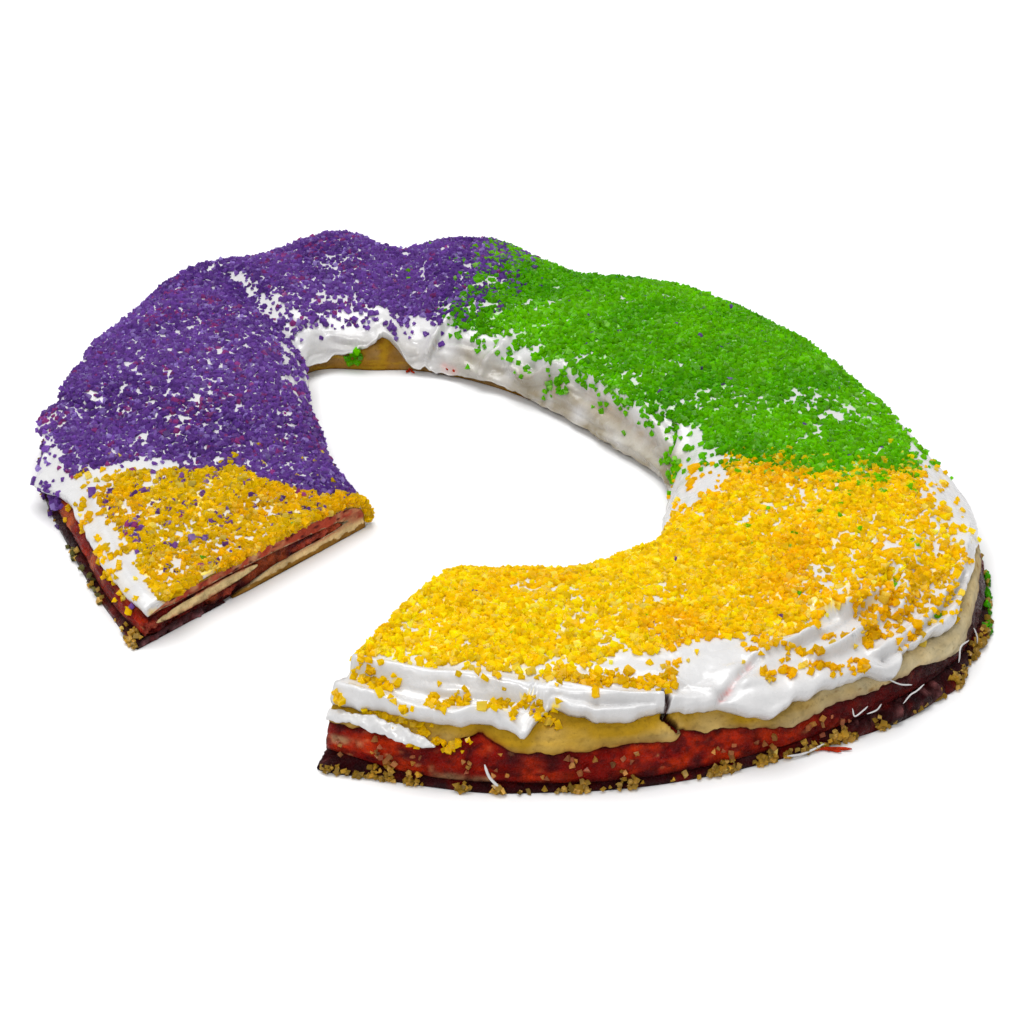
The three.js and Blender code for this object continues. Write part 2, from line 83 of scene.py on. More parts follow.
# Bulges: middle (around), spread in degrees, millimetres outward.
OUTER_LOBES = (
    (-142, 14, 6.4), (-97, 22, -7.9), (-62, 14, 2.2), (-45, 10, 2.4), (-18, 22, -6), (8, 14, -1.5),
    (35, 11, -13.1), (52, 6, 4.4), (66, 5, -7.6), (76, 9, 7.5), (88, 8, -4.8), (101, 8, 3.4),
    (115, 8, -4.9), (128, 14, -6.5), (150, 9, 0.4), (171, 10, -4),
)
INNER_LOBES = (
    (-141, 13, 11.5), (-118, 10, 3), (-88, 22, -9.9), (-58, 16, -4.8), (-40, 11, -2.1), (-20, 13, 5.5),
    (72, 16, 1.5), (101, 13, 14.9), (118, 8, 1), (128, 12, 1.8), (145, 10, -1.5),
)
CREST_LOBES = (
    (-115, 25, 1.8), (38, 9, -2.6), (52, 9, 0.6), (60, 60, -2.4), (66, 6, -3.9), (76, 9, 1.8),
    (86, 7, -1.5), (104, 7, -1.6),
)
# The layers inside follow a smoother crest.
EVEN_LOBES = ((60, 60, -2.4), (60, 30, -3.5))

# Edges that change round the ring, as places over it: a base value, and lobes that change it.
ICING_OUTER_EDGE = (38, (
    (-138, 7, 2.7), (-131.2, 0.9, -0.8), (-129.2, 1.3, 2.9), (-124.8, 0.8, -4.4), (-122, 1.9, 8.4),
    (-119, 2.5, 4.3), (-110, 5, 3.7), (-103.5, 1.5, 1.7), (-97, 4, -7.7), (-91, 2, -1.9),
    (-86, 2.5, -2.9), (-79.3, 2.2, -8), (-66.2, 3.2, -3.8), (-40, 9, -5), (-12, 12, 3),
    (18, 8, -4), (58, 9, -5), (97, 8, 4), (120, 9, -6), (149.5, 3, -8), (160.5, 3, -15),
))
ICING_INNER_EDGE = (176, (
    (-125, 12, -8), (-70, 15, -8), (38, 11.5, -6), (64, 1.5, -6), (77.5, 7, -27), (87.7, 5.4, -14.5),
    (94, 2.3, -6.5), (115, 16, -17.5), (150, 12, -5),
))
DOUGH_EDGE = (28, (
    (-138, 5, 3.8), (-129.3, 2, 9), (-122, 3, -1.4), (-113, 4, 1.8), (-107, 1.3, 5),
    (-103, 2.5, 2.4), (-94, 4, -5.5), (-74.3, 1.2, 1.6), (-66, 5, -10), (-20, 14, 4),
    (40, 12, -5), (90, 12, 4), (175, 24, 16),
))
# How far the jam stands out of the foot, and how high it reaches there, in the same way.
JAM_OUT = (0.5, (
    (-144, 3.5, 3.6), (-128, 4, 0.9), (-76, 9, 2.2), (-69, 2.5, 2), (-58, 5, 1.8), (-10, 12, 1.2),
    (30, 9, 1.6), (84, 8, 1), (122, 10, 1.4), (172, 7, 1), (189, 3, 2),
))
JAM_FACE = (2.2, (
    (-141.5, 4, 1.3), (-118, 18, -1.1), (-78, 12, 2.2), (-20, 14, 1), (60, 14, 1), (150, 12, 0.8),
))

# The cavity in the dough, and the jam's upper side: share, height as a share of the crest. The dough
# starts on the floor at its foot's share, and its lip laps over the filling by a share of the width.
FLOOR_OF_CAVITY = ((0.43, 0.08), (0.57, 0.33), (0.85, 0.37))
BACK_OF_CAVITY = ((0.92, 0.46), (0.9, 0.58))
ROOF_OF_CAVITY = ((0.66, 0.69), (0.35, 0.76), (0.12, 0.74))
DOUGH_FOOT = 0.38
DOUGH_LIP = 0.012
JAM_TOP = ((0.05, 0.16), (0.14, 0.27), (0.25, 0.25), (0.34, 0.05))
# The layer of dough in the filling, in the same shares. It reaches further out over this stretch.
MIDDLE = {"from": 0.15, "from_at_cut": 0.06, "to": 0.5, "height": 0.53, "half_height": 0.155}
MIDDLE_STRETCH = (165, 188)

# Folds of the icing: route as (around, over) points, half width and height, below 0 for a groove.
FOLDS = (
    # The first roll from the front cut, the groove below it, and the second roll with its torn tip.
    (((-146, 57.5), (-138.6, 57.7), (-132, 57), (-124.8, 54.1), (-121.5, 51.2), (-110, 46)), 2.3, 1.6),
    (((-146, 53.4), (-141, 53), (-138.2, 51.6), (-133.3, 49.4), (-126.3, 48.8), (-122.5, 47)), 1.9, -2.1),
    (((-146, 45.8), (-140.3, 45.1), (-134.2, 42.8), (-131.7, 42), (-130.4, 44.6), (-129.1, 45.5),
      (-127.8, 43.6)), 1.7, 1.3),
    (((-127.8, 43.6), (-126, 40.5), (-125, 37)), 0.9, 0.5),
    # Ripples between the torn tip and the crack.
    (((-122.3, 55.6), (-118.3, 53), (-114.4, 48.7), (-109.6, 46.5)), 1.2, 0.9),
    (((-122, 50.5), (-117, 47.2), (-111, 44.8)), 1.0, -1.0),
    (((-122.3, 45.8), (-117.8, 43.4), (-113, 43.2), (-109.6, 42.6)), 1.4, 1.0),
    (((-108.2, 45), (-106.2, 43.5), (-103.6, 42.6)), 2.0, 1.1),
    (((-107.2, 53), (-105.5, 48.7), (-103.6, 45.8)), 1.0, 0.8),
    # The big drip and the furrow beside it.
    (((-99, 45), (-97, 39), (-96.6, 35)), 6.0, 1.7),
    (((-95.5, 54), (-98, 50.5), (-100.8, 45.5), (-103, 41)), 1.2, -1.5),
    (((-92, 42.5), (-86, 42), (-82, 38)), 3.6, 1.0),
    (((-95.5, 55.5), (-91, 57), (-87.7, 57.8), (-83.6, 60)), 1.5, 1.4),
    # The curl at the right with its shaded hollow.
    (((-73.5, 58.4), (-78.1, 57), (-82, 55.6), (-87, 54)), 2.5, -3.2),
    (((-79.4, 69.3), (-77.5, 64.9), (-74.5, 62), (-70.5, 60.6), (-69.8, 58.4), (-73.2, 55.6),
      (-76.6, 53.2), (-80.7, 51), (-84.1, 49.4), (-87.5, 49)), 1.5, 2.5),
    (((-79.6, 42.6), (-75.2, 43.8), (-69.9, 44.4), (-64.3, 45), (-59.6, 44.8), (-46, 42)), 1.5, 1.3),
    (((-79, 38.8), (-74, 40.6), (-69, 41.4), (-64, 41.8), (-57, 41)), 1.0, -1.1),
    (((-81, 35.5), (-76.5, 36.5), (-73, 39.6), (-68, 38.6), (-63, 40)), 1.3, 1.0),
    (((-61, 68), (-64.7, 58.4), (-71, 52)), 2.0, 1.8),
    (((-57, 74), (-62, 66), (-68, 60)), 1.8, -1.5),
    (((-46, 60), (-53, 52), (-60, 49)), 1.6, 1.2),
    (((-90, 66), (-84, 62), (-79, 62)), 1.8, -1.1),
    (((-53, 60), (-60, 62), (-66, 68)), 2.4, 1.2),
    (((-66, 75), (-70, 70), (-76, 68)), 1.8, 1.1),
    # Creases across the back.
    (((100, 60), (102, 106), (105, 142)), 4.0, -2.2),
    (((96, 70), (97, 110), (99, 144)), 3.6, 1.2),
    (((64, 60), (61, 114), (56, 147)), 4.0, -1.6),
    (((55.2, 131), (58.8, 141.8), (62.9, 157.6)), 1.4, 2.2),
    (((53.5, 134), (57, 145), (60.5, 158)), 1.5, -1.3),
    (((145, 38), (149, 54), (153, 73)), 3.4, -1.3),
    # Rolls and tips on the inner side.
    (((37.4, 133.8), (39.1, 142.8), (41.9, 152.6), (43, 162)), 1.8, 2.2),
    (((34, 136), (36, 146), (37, 158)), 1.7, -1.2),
    (((34.5, 146), (33.2, 151.9), (27.6, 155.5), (22.7, 145.4), (20.5, 140)), 1.9, 2.3),
    (((29, 147), (27, 149), (25.5, 146)), 1.6, -1.2),
    (((18, 141), (8.3, 139.2), (-2.7, 139.6), (-12.5, 145), (-16.1, 149.7)), 2.0, 1.3),
    (((12, 151), (4, 151.5), (-4, 153), (-13, 156)), 2.6, -1.5),
    (((-4, 127), (-8, 132), (-10.2, 136)), 1.4, 1.4),
    (((-11.9, 136), (-15, 140), (-18.6, 146), (-21, 153)), 1.3, -1.5),
    (((-14.5, 134), (-18.5, 140), (-22.5, 147), (-25, 156)), 2.2, 1.4),
    (((2, 170), (-8, 166), (-16, 167), (-24, 170)), 1.2, 1.0),
    (((50, 160), (44, 166), (34, 164), (24, 166)), 1.6, 0.9),
    (((78, 140), (86, 146), (94, 146)), 2.4, 0.8),
    # The dollops that hang at the outer left.
    (((146, 58), (150, 40), (156, 28)), 6.0, 1.5),
    (((160, 30), (161, 24), (160.5, 20)), 3.0, 1.3),
    (((149.5, 24), (149.5, 19)), 2.8, 1.2),
    (((166, 52), (172, 48), (180, 46), (188, 44)), 2.2, 0.8),
)
CRACK = (
    (-109.3, 49), (-109.1, 45.5), (-109.5, 41), (-108.9, 37.5), (-108.4, 34), (-107.2, 31), (-106.6, 24),
)
CRACK_TOP = 51

# Where the colours of sugar meet: over, around.
PURPLE_GREEN = ((20, 44), (45, 46), (81, 47), (114, 48.7), (131, 54), (160, 55))
GREEN_YELLOW = (
    (20, -30), (37, -32), (61, -37), (83, -40.7), (102, -39), (115, -35), (132, -37), (150, -31), (170, -28),
)
PURPLE_YELLOW = (
    (20, 166), (40, 164), (52, 163), (79, 164), (88, 168), (105, 168), (119, 177), (130, 186), (160, 187),
)
# Where the dense sugar ends on the outer and on the inner side: around, over.
SUGAR_FROM = (
    (-144, 60), (-139.5, 61), (-135, 63), (-130, 64), (-126, 63), (-122, 61), (-116, 64), (-111, 70),
    (-105, 69), (-101, 67), (-96.5, 64), (-90, 61), (-84, 63), (-78, 63), (-74, 60), (-69, 55), (-63, 56),
    (-58, 58), (-52, 60), (-47, 59), (-42, 56), (-36, 52), (-29, 48), (-21, 46), (-14, 40), (-5, 35),
    (48, 36), (75, 38), (100, 34), (125, 29), (131, 36), (138, 40), (145, 31), (150, 33), (156, 38),
    (163, 44), (166, 54), (171, 48), (177.5, 50), (184, 49), (190, 50),
)
SUGAR_TO = (
    (-144, 160), (-60, 158), (-55, 138), (-48, 137), (-43, 128), (-38, 126), (-32, 127), (-20, 131),
    (-15, 141), (-3, 140), (6, 141), (10, 135), (16, 144), (22, 144), (27, 140), (32, 136), (39, 132),
    (46, 138), (51, 143), (55, 131), (61, 127), (66, 127), (72, 133), (78, 130), (84, 127), (91, 128),
    (96, 128), (102, 122), (106, 130), (112, 140), (118, 146), (124, 152), (130, 150), (137, 152),
    (145, 164), (190, 168),
)
# Thinly strewn patches: around, over, radius, how much is missing.
BARE = (
    (-17, 77, 8, 0.75), (-22, 72, 7, 0.5), (-25, 57, 6, 0.5), (-26, 83, 6, 0.45), (-18, 47, 6, 0.4),
    (-30, 55, 5, 0.3), (-74, 74, 7, 0.7), (-75, 57, 4, 0.4), (-67, 72, 6, 0.65), (-62, 70, 7, 0.75),
    (-57, 70, 7, 0.65), (-58, 80, 7, 0.55), (-52, 78, 7, 0.5), (-71, 82, 6, 0.45), (-64, 82, 5, 0.4),
    (-60, 120, 4, 0.5), (-52, 120, 4, 0.4), (-46, 129, 5, 0.5), (-56, 135, 4, 0.35), (-46, 72, 6, 0.25),
    (-51, 57, 5, 0.4), (-79, 73, 5, 0.45), (-84, 80, 4, 0.3), (-132, 74, 4, 0.5), (-139, 67, 4, 0.3),
    (-113, 76, 6, 0.3), (-107.6, 79, 4, 0.8), (-103, 68, 4, 0.7), (-122, 68, 4, 0.6), (-9, 129, 4, 0.5),
    (-46, 104, 9, 0.15), (-117, 96, 12, 0.2), (-28, 100, 10, 0.15), (16, 100, 10, 0.15), (10, 128, 4, 0.4),
    (-36, 120, 4, 0.5), (30, 128, 4, 0.4), (38.5, 98, 5, 0.65), (48, 95, 5, 0.55), (48, 120, 5, 0.5),
    (38, 129, 5, 0.65), (33, 112, 4, 0.4), (41, 105, 5, 0.35), (52, 104, 4, 0.4), (20, 62, 6, 0.3),
    (58, 130, 5, 0.6), (82, 84, 5, 0.2), (88, 118, 9, 0.5), (90, 132, 9, 0.55), (81, 128, 5, 0.4),
    (72, 76, 5, 0.35), (101, 112, 3, 0.6), (103, 124, 8, 0.65), (104.5, 138, 8, 0.75), (98, 130, 9, 0.6),
    (109, 130, 8, 0.55), (111, 112, 6, 0.5), (112, 94, 4, 0.6), (112, 144, 8, 0.55), (117, 138, 7, 0.5),
    (118, 120, 8, 0.35), (123, 138, 6, 0.45), (123, 108, 6, 0.4), (129, 108, 6, 0.45), (129, 146, 8, 0.7),
    (135, 142, 9, 0.65), (136, 106, 7, 0.4), (136, 122, 6, 0.35), (141, 108, 6, 0.5), (137, 86, 5, 0.35),
    (141, 150, 6, 0.5), (146, 112, 4, 0.5), (152, 34, 9, 0.4), (132, 60, 6, 0.2), (97.5, 52, 3.5, 0.8),
    (167, 74, 5, 0.5), (172, 90, 6, 0.4), (187, 62, 5, 0.4), (176, 60, 3, 0.3), (-62, 64, 9, 0.55),
    (-71, 66, 6, 0.5), (-55, 66, 6, 0.45), (-68, 76, 8, 0.4), (-24, 62, 7, 0.35), (-20, 80, 8, 0.3),
    (34, 100, 8, 0.35), (31, 112, 7, 0.4), (37, 84, 6, 0.35), (16, 44, 7, 0.45), (37, 46, 8, 0.25),
)
# Bare lines in the sugar: route, half width.
BARE_LINES = (
    (((165.5, 44), (164, 52), (163.2, 62), (163.4, 72), (164, 82)), 3.3),
    (((98.5, 72), (98.8, 86), (100.8, 98), (102.6, 112), (104, 126), (105, 140)), 2.3),
    (((97.5, 126), (102, 134), (108, 144)), 3.5),
    (((57.4, 126), (57.8, 136), (56, 148)), 2.6),
)
# Stripes of grains outside the dense field: route, half width, share of the dense cover.
STRIPES = (
    (((-55, 47), (-64.5, 53), (-69, 53), (-74, 51.9), (-79, 48), (-81.3, 43.3)), 3.6, 0.9),
    (((-69.2, 42.2), (-73.9, 40.6), (-79.4, 40.5), (-84, 42.2), (-86.6, 48.7)), 1.5, 0.45),
    (((-144.4, 53), (-138.2, 51.6), (-133.3, 49.2), (-128.3, 47.6), (-122, 44)), 3.2, 0.85),
    (((-141, 47), (-136, 46), (-132, 45)), 1.8, 0.5),
    (((-134, 66), (-126, 62.5), (-117.5, 57.5), (-109, 53.5)), 2.8, 1.0),
    (((154, 30), (160, 25), (166, 30)), 3.2, 0.4),
    (((-144.4, 40.8), (-139, 40), (-134, 38)), 0.8, 0.8),
    (((-135.5, 31), (-132.5, 30), (-128.5, 32.5)), 1.5, 1.0),
    (((-121, 56), (-116, 53), (-111, 56), (-106, 58)), 1.8, 0.5),
    (((-98, 57), (-93, 57), (-88, 53)), 1.6, 0.4),
    (((-87.6, 49), (-84, 47), (-82, 43)), 1.6, 0.5),
    (((-45, 56), (-52, 58), (-58, 56), (-63, 62)), 2.4, 0.35),
    (((168, 43), (176, 41), (187, 38)), 2.2, 0.3),
    (((-58, 50), (-64, 56), (-70, 57)), 2.4, 0.6),
    (((16, 143), (19, 149), (21, 157)), 3.4, 0.5),
    (((53, 133), (56, 142), (58, 150)), 2.2, 0.6),
    (((-82, 47), (-76, 49), (-70, 48)), 2.6, 0.5),
    (((-92, 46), (-86, 44), (-80, 41)), 2.4, 0.45),
    (((-30, 156), (-25, 155), (-20, 158)), 2.6, 0.6),
    (((-20, 148), (-24, 156), (-30, 166)), 2.6, 0.35),
)
# Clumps of grains: around, over, radius.
CLUMPS = (
    (-137.4, 36.4, 1.9), (-134.6, 34, 2.1), (-136.6, 41.8, 1.3), (-134.5, 49.4, 1.9), (-131.2, 49, 2.0),
    (-128.4, 44.5, 1.6), (-124.8, 49.6, 1.9), (-121.7, 47.4, 1.3), (-138.9, 53, 1.6), (-141.9, 52.6, 2.1),
    (-95.3, 47, 2.0), (-92.4, 47.5, 1.5), (-88.3, 53.5, 2.0), (-83.3, 39, 1.6),
)
# The green clump on the inner wall, and how far its green reaches.
GREEN_CLUMP = (88.6, 164, 3.2)
GREEN_REACH = 4

# Threads of icing over the foot, and strands of fruit on the floor: radius, and a route as places
# (around, over, height off the skin).
THREADS = (
    (0.42, ((-128.5, 20, 0.5), (-128.1, 14, 1.2), (-127.7, 10, 1.3), (-126.9, 4.5, 1.5))),
    (0.34, ((-95, 3.6, 1.6), (-93.4, 2.4, 1.9), (-92, 2.6, 1.8), (-89.8, 4.5, 1.4))),
    (0.22, ((-85.6, 23, 1.3), (-85.5, 18, 1.5), (-84.3, 20, 1.8), (-83.4, 21, 1.3))),
    (0.22, ((-83.6, 16, 1.2), (-82.3, 16.6, 1.6), (-81.4, 19, 1.3))),
    (0.24, ((-78, 11.6, 1.2), (-77, 16, 1.6), (-75.8, 16.5, 1.6), (-74.4, 17.5, 1.3))),
    (0.24, ((-79.5, 31.5, 0.9), (-78.1, 25.5, 1.3), (-76.3, 21.5, 1.2))),
    (0.26, ((-67.2, 13, 1.2), (-66.4, 22, 1.4), (-64, 19.8, 1.2))),
    (0.24, ((-61.8, 21.5, 1.0), (-61.6, 14, 1.4), (-61.2, 6.5, 1.2))),
    (0.24, ((-62.2, 40, 1.2), (-63.4, 39, 1.4), (-64.9, 40, 1.2))),
)
STRANDS = (
    (0.5, ((-91.4, 2, 0.8), (-90.2, 0.4, 1.6), (-88.6, 0.3, 3.6), (-87.3, 1, 5.6))),
    (0.38, ((-90.6, 1, 0.8), (-89.6, 0.3, 2.6), (-88.6, 0.4, 5.2))),
    (0.42, ((-90, 1, 1.0), (-89.6, 0.5, 1.9), (-89.7, 0.4, 3.4))),
    (0.5, ((-70, 2, 0.8), (-69.4, 0.6, 2.2), (-69.0, 0.3, 3.8))),
    (0.45, ((68.9, 176, 0.6), (69.6, 179.4, 1.6), (70.6, 179.8, 2.6))),
    (0.35, ((68.4, 177, 0.6), (68.2, 179.5, 1.8), (67.4, 179.8, 2.6))),
    (0.35, ((55.8, 168.6, 2.9), (55.3, 169.4, 3.0), (54.9, 170, 2.8))),
    (0.5, ((53.3, 168.8, 2.9), (52.7, 169.5, 3.1), (52.1, 169.9, 2.8))),
)

# Where the dough shows as a thin pale strip on the filling.
PALE_STRIP = ((-133.2, 8.6), (-130.8, 7.9), (-128.2, 8.6))
PALE_END = ((-144.3, 20), (-142.3, 21.6), (-140.8, 22.6))

# Smears and specks on the icing, the dough's tan with painted shade on its inner wall, and painted shade at
# the wall's foot and under a fold at the left: route, half width, colour, strength.
STAINS_AND_SHADE = (
    (((-96.5, 53), (-99.5, 48), (-102.8, 42)), 0.9, (0.7, 0.18, 0.16), 0.6),
    (((-94.5, 55.5), (-93.5, 54)), 1.0, (0.8, 0.3, 0.28), 0.4),
    (((-102.2, 41.5), (-101.6, 40.2)), 0.7, (0.6, 0.05, 0.05), 0.8),
    # Tan on the inner wall: the dough behind the thin icing, with painted shade.
    (((10, 150), (-2, 152.5), (-13, 157.5)), 3.0, (0.36, 0.27, 0.18), 0.85),
    # Painted shade along the foot of the inner wall.
    (((6, 163), (-6, 164), (-18, 166)), 4.0, (0.5, 0.48, 0.42), 0.5),
    (((48, 166), (38, 168), (26, 168)), 4.0, (0.55, 0.53, 0.48), 0.4),
    (((18.5, 142), (18.1, 151), (18.9, 161)), 0.9, (0.3, 0.15, 0.02), 0.95),
    (((-13.5, 139), (-18, 145), (-20.3, 152)), 0.6, (0.3, 0.2, 0.1), 0.7),
    (((54, 133), (57.5, 143), (61, 156)), 0.6, (0.35, 0.25, 0.14), 0.6),
    (((97.6, 43), (97.2, 45.5)), 1.6, (0.35, 0.16, 0.04), 0.95),
    (((56, 168), (52.5, 169.6)), 1.6, (0.8, 0.3, 0.26), 0.5),
    # Grey-tan streak under the fold at the left, painted as its shade.
    (((168, 46), (178, 43), (187, 39)), 2.0, (0.5, 0.42, 0.3), 0.45),
)
# How far the icing's inner wall is darkened, as lobes: painted shade, with the tan of the dough behind the
# thin icing.
SHADED_WALL = ((-24, 12, 0.9), (0, 16, 1.0), (28, 14, 0.9), (46, 8, 0.6), (72, 20, 0.35))

# Where the dough under the icing is browner, where the filling is brighter, where the jam stands out
# further and has paler bits, where yellow grains are warmer, and where more grains lie at the foot, all
# as lobes.
BROWNER_DOUGH = ((-122, 18, 1.0), (-145, 8, 0.6), (-98, 10, 0.35), (-20, 24, 0.6), (180, 20, 0.8))
BRIGHTER_FILLING = ((-108, 12, 0.3), (-120, 8, -0.1), (-137, 8, 0.55))
THICKER_JAM = ((-78, 16, 1), (-60, 8, 0.6), (-142, 3, 1), (188, 4, 1))
PALER_JAM = ((-74, 20, 1), (-142, 4, 0.5))
WARMER_YELLOW = ((-38, 8, 0.35), (-75, 22, 0.15), (-130, 16, -0.25), (178, 8, 0.1))
MORE_AT_FOOT = (
    (-138, 4, 0.9), (-133, 2, 0.5), (-119, 3, 0.3), (-103, 1.5, 0.5), (-97, 1.5, 0.6), (-88, 2, 0.6),
    (-83, 2, 0.5), (-70, 3, 0.9), (-60, 4, 0.9), (-45, 8, 0.5), (188.5, 1.5, 1), (176, 2, 0.35),
    (180, 1.2, 0.3),
)

# Colours of small places, beside those of the add-on's own list.
TAN_SIDE = (0.48, 0.3, 0.055)
DEEP_CRACK = (0.03, 0.002, 0.002)
ICING_CRACK = (0.04, 0.006, 0.004)
# Pale bits of fruit on the filling, which also stand in as painted glints.
PALE_BITS_AND_GLINTS = (0.5, 0.24, 0.1)
RUSTY_FILLING = (0.42, 0.075, 0.02)
DULL_JAM = (0.2, 0.07, 0.07)
PINK_SMEAR = (0.5, 0.22, 0.24)
# Painted shade on the icing's inner wall, tan with the dough behind it.
SHADE_AND_DOUGH_BEHIND = (0.22, 0.175, 0.1)
# Brighter tones of a few grains, partly their own tone and partly painted glints.
BRIGHT_GREEN = (0.5, 0.85, 0.2)
BRIGHT_PURPLE = (0.5, 0.4, 0.78)
PALE_GOLD = (0.78, 0.55, 0.18)
OLIVE = (0.1, 0.13, 0.05)
RED_GRAIN = (0.45, 0.14, 0.08)

# Two rough crystals, a block and a wedge, as corners and faces.
BLOCK = (
    np.array([[x, y, z] for x in (-1, 1) for y in (-1, 1) for z in (-1, 1)]) * 0.5,
    [[0, 1, 3, 2], [4, 6, 7, 5], [0, 4, 5, 1], [2, 3, 7, 6], [0, 2, 6, 4], [1, 5, 7, 3]],
)
WEDGE = (
    np.array([
        [-1, -1, -0.9], [1, -0.8, -1], [0, 1, -0.9], [-0.9, -1, 0.9], [0.9, -0.9, 1], [0.1, 0.9, 0.8],
    ]) * 0.5,
    [[0, 2, 1], [3, 4, 5], [0, 1, 4, 3], [1, 2, 5, 4], [2, 0, 3, 5]],
)
WEDGE_SHARE = 0.6
GRAINS_A_PIECE = 20600
# The three kinds of sugar, by number, with each kind's piece, slot and common length of a grain.
YELLOW, GREEN, PURPLE = 0, 1, 2
GRAINS = (
    ("yellow_sugar", "sugar_yellow", 1.5),
    ("green_sugar", "sugar_green", 1.55),
    ("purple_sugar", "sugar_purple", 1.4),
)
GRAIN_LENGTHS = np.array([length for _, _, length in GRAINS])
# The shortest and longest grain, over the ring and along the cut rims.
GRAIN_LIMITS = (0.9, 2.1)
RIM_GRAIN_LIMITS = (0.9, 2.2)
# How many places are tried for a grain along each cut rim and along the outer foot.
LEFT_RIM_TRIES = 900
FRONT_RIM_TRIES = 420
FOOT_TRIES = 7000


# ---- Shapes ----
def ease(low, high, value):
    """Goes smoothly from 0 at low to 1 at high."""
    share = np.clip((value - low) / (high - low), 0, 1)
    return share * share * (3 - 2 * share)


def wrapped(degrees):
    """The same angle between -180 and 180."""
    return (degrees + 180) % 360 - 180


def lobe_sum(around, lobes):
    return sum(size * np.exp(-(wrapped(around - middle) / spread) ** 2) for middle, spread, size in lobes)


def value_at(around, rule):
    base, lobes = rule
    return base + lobe_sum(around, lobes)


def outline_point(around, axes, bulge):
    x = axes[0] * np.cos(np.radians(around))
    y = axes[1] * np.sin(np.radians(around))
    normal_x, normal_y = x / axes[0] ** 2, y / axes[1] ** 2
    length = np.hypot(normal_x, normal_y)
    return x + bulge * normal_x / length, y + bulge * normal_y / length


def inner_around(around):
    """The cuts aren't radial: the inner end of a section runs ahead of the outer one there."""
    return around + FRONT_SKEW * (1 - ease(-146, -110, around)) - LEFT_SKEW * ease(160, 190, around)


class Ring:
    """The upright sections at some places round the ring."""

    def __init__(self, around):
        around = np.asarray(around, dtype=float)
        outer = outline_point(around, OUTER_AXES, lobe_sum(around, OUTER_LOBES))
        inner = outline_point(inner_around(around), INNER_AXES, lobe_sum(inner_around(around), INNER_LOBES))
        out = (outer[0] - inner[0], outer[1] - inner[1])
        self.around = around
        self.width = np.hypot(*out)
        self.outer = outer
        self.out = (out[0] / self.width, out[1] / self.width)
        sag = ease(*SAG, around)
        crest = CREST + lobe_sum(around, CREST_LOBES)
        even = CREST + lobe_sum(around, EVEN_LOBES)
        self.crest = crest + (LOW_CREST - crest) * sag
        self.even_crest = even + (LOW_CREST - even) * sag
        self.roundness = ROUNDNESS[0] + (ROUNDNESS[1] - ROUNDNESS[0]) * ease(*SQUARER, around)

    def skin(self, over, offset):
        """The outer skin, moved out by offset, as distance in from the outer foot and height."""
        half = self.width / 2
        cos, sin = np.cos(np.radians(over)), np.sin(np.radians(over))
        power = self.roundness
        reach = (np.abs(cos) ** power + np.abs(sin) ** power) ** (-1 / power)
        side, height = half * cos * reach, self.crest * sin * reach
        normal_side = np.sign(side) * np.abs(side / half) ** (power - 1) / half
        normal_up = np.abs(height / self.crest) ** (power - 1) / self.crest
        length = np.hypot(normal_side, normal_up)
        return half - side - offset * normal_side / length, height + offset * normal_up / length

    def inside(self, share, height):
        """A place in a section, from shares of its width and crest, as distance in and height."""
        return share * self.width, height * self.even_crest

    def in_space(self, distance, height):
        return np.stack([
            self.outer[0] - self.out[0] * distance - OVAL_CENTRE[0],
            self.outer[1] - self.out[1] * distance - OVAL_CENTRE[1],
            height + 0 * distance,
        ], axis=-1)


def unit(vectors, spare=0.0):
    """Vectors of length 1 in the same directions. A little spare length keeps empty ones finite."""
    return vectors / (np.linalg.norm(vectors, axis=-1, keepdims=True) + spare)


def on_skin(around, over, offset):
    ring = Ring(around)
    return ring.in_space(*ring.skin(over, offset))


def outward(around, over):
    """The unit direction out of the skin."""
    return unit(on_skin(around, over, 1.0) - on_skin(around, over, 0.0))


def random_field(cells, seed):
    """A fixed random number from -1 to 1 for each cell of a lattice."""
    mixed = cells[..., 0] * 374761393 + cells[..., 1] * 668265263 + cells[..., 2] * 2147483647
    mixed = mixed + seed * 1274126177
    mixed = mixed.astype(np.uint64) & np.uint64(0xFFFFFFFF)
    mixed = (mixed ^ (mixed >> np.uint64(13))) * np.uint64(1274126177) & np.uint64(0xFFFFFFFF)
    mixed = (mixed ^ (mixed >> np.uint64(16))) * np.uint64(2246822519) & np.uint64(0xFFFFFFFF)
    return (mixed ^ (mixed >> np.uint64(15))).astype(float) / 2147483648.0 - 1.0


def rough(points, size, seed, octaves=1):
    """Smooth random heights from about -1 to 1, with lumps of the given size."""
    total, strength = 0.0, 1.0
    for octave in range(octaves):
        place = points / (size / 2 ** octave)
        cell = np.floor(place).astype(np.int64)
        part = place - cell
        part = part * part * (3 - 2 * part)
        level = 0.0
        for corner in range(8):
            step = np.array([corner & 1, corner >> 1 & 1, corner >> 2])
            weight = np.prod(np.where(step == 1, part, 1 - part), axis=-1)
            level = level + weight * random_field(cell + step, seed + 17 * octave)
        total = total + strength * level
        strength *= 0.5
    return total


def streaks(around, over, length, width, seed):
    """Random heights drawn out along the ring."""
    flat = np.stack(np.broadcast_arrays(around * 2.6 / length, over * 0.55 / width, 0.0), axis=-1)
    return rough(flat, 1.0, seed, 2)


def ragged(around, size, seed):
    """A random change from place to place round the ring."""
    return rough(np.stack([around * 2.7, 0 * around, 0 * around], axis=-1), size, seed, 2)


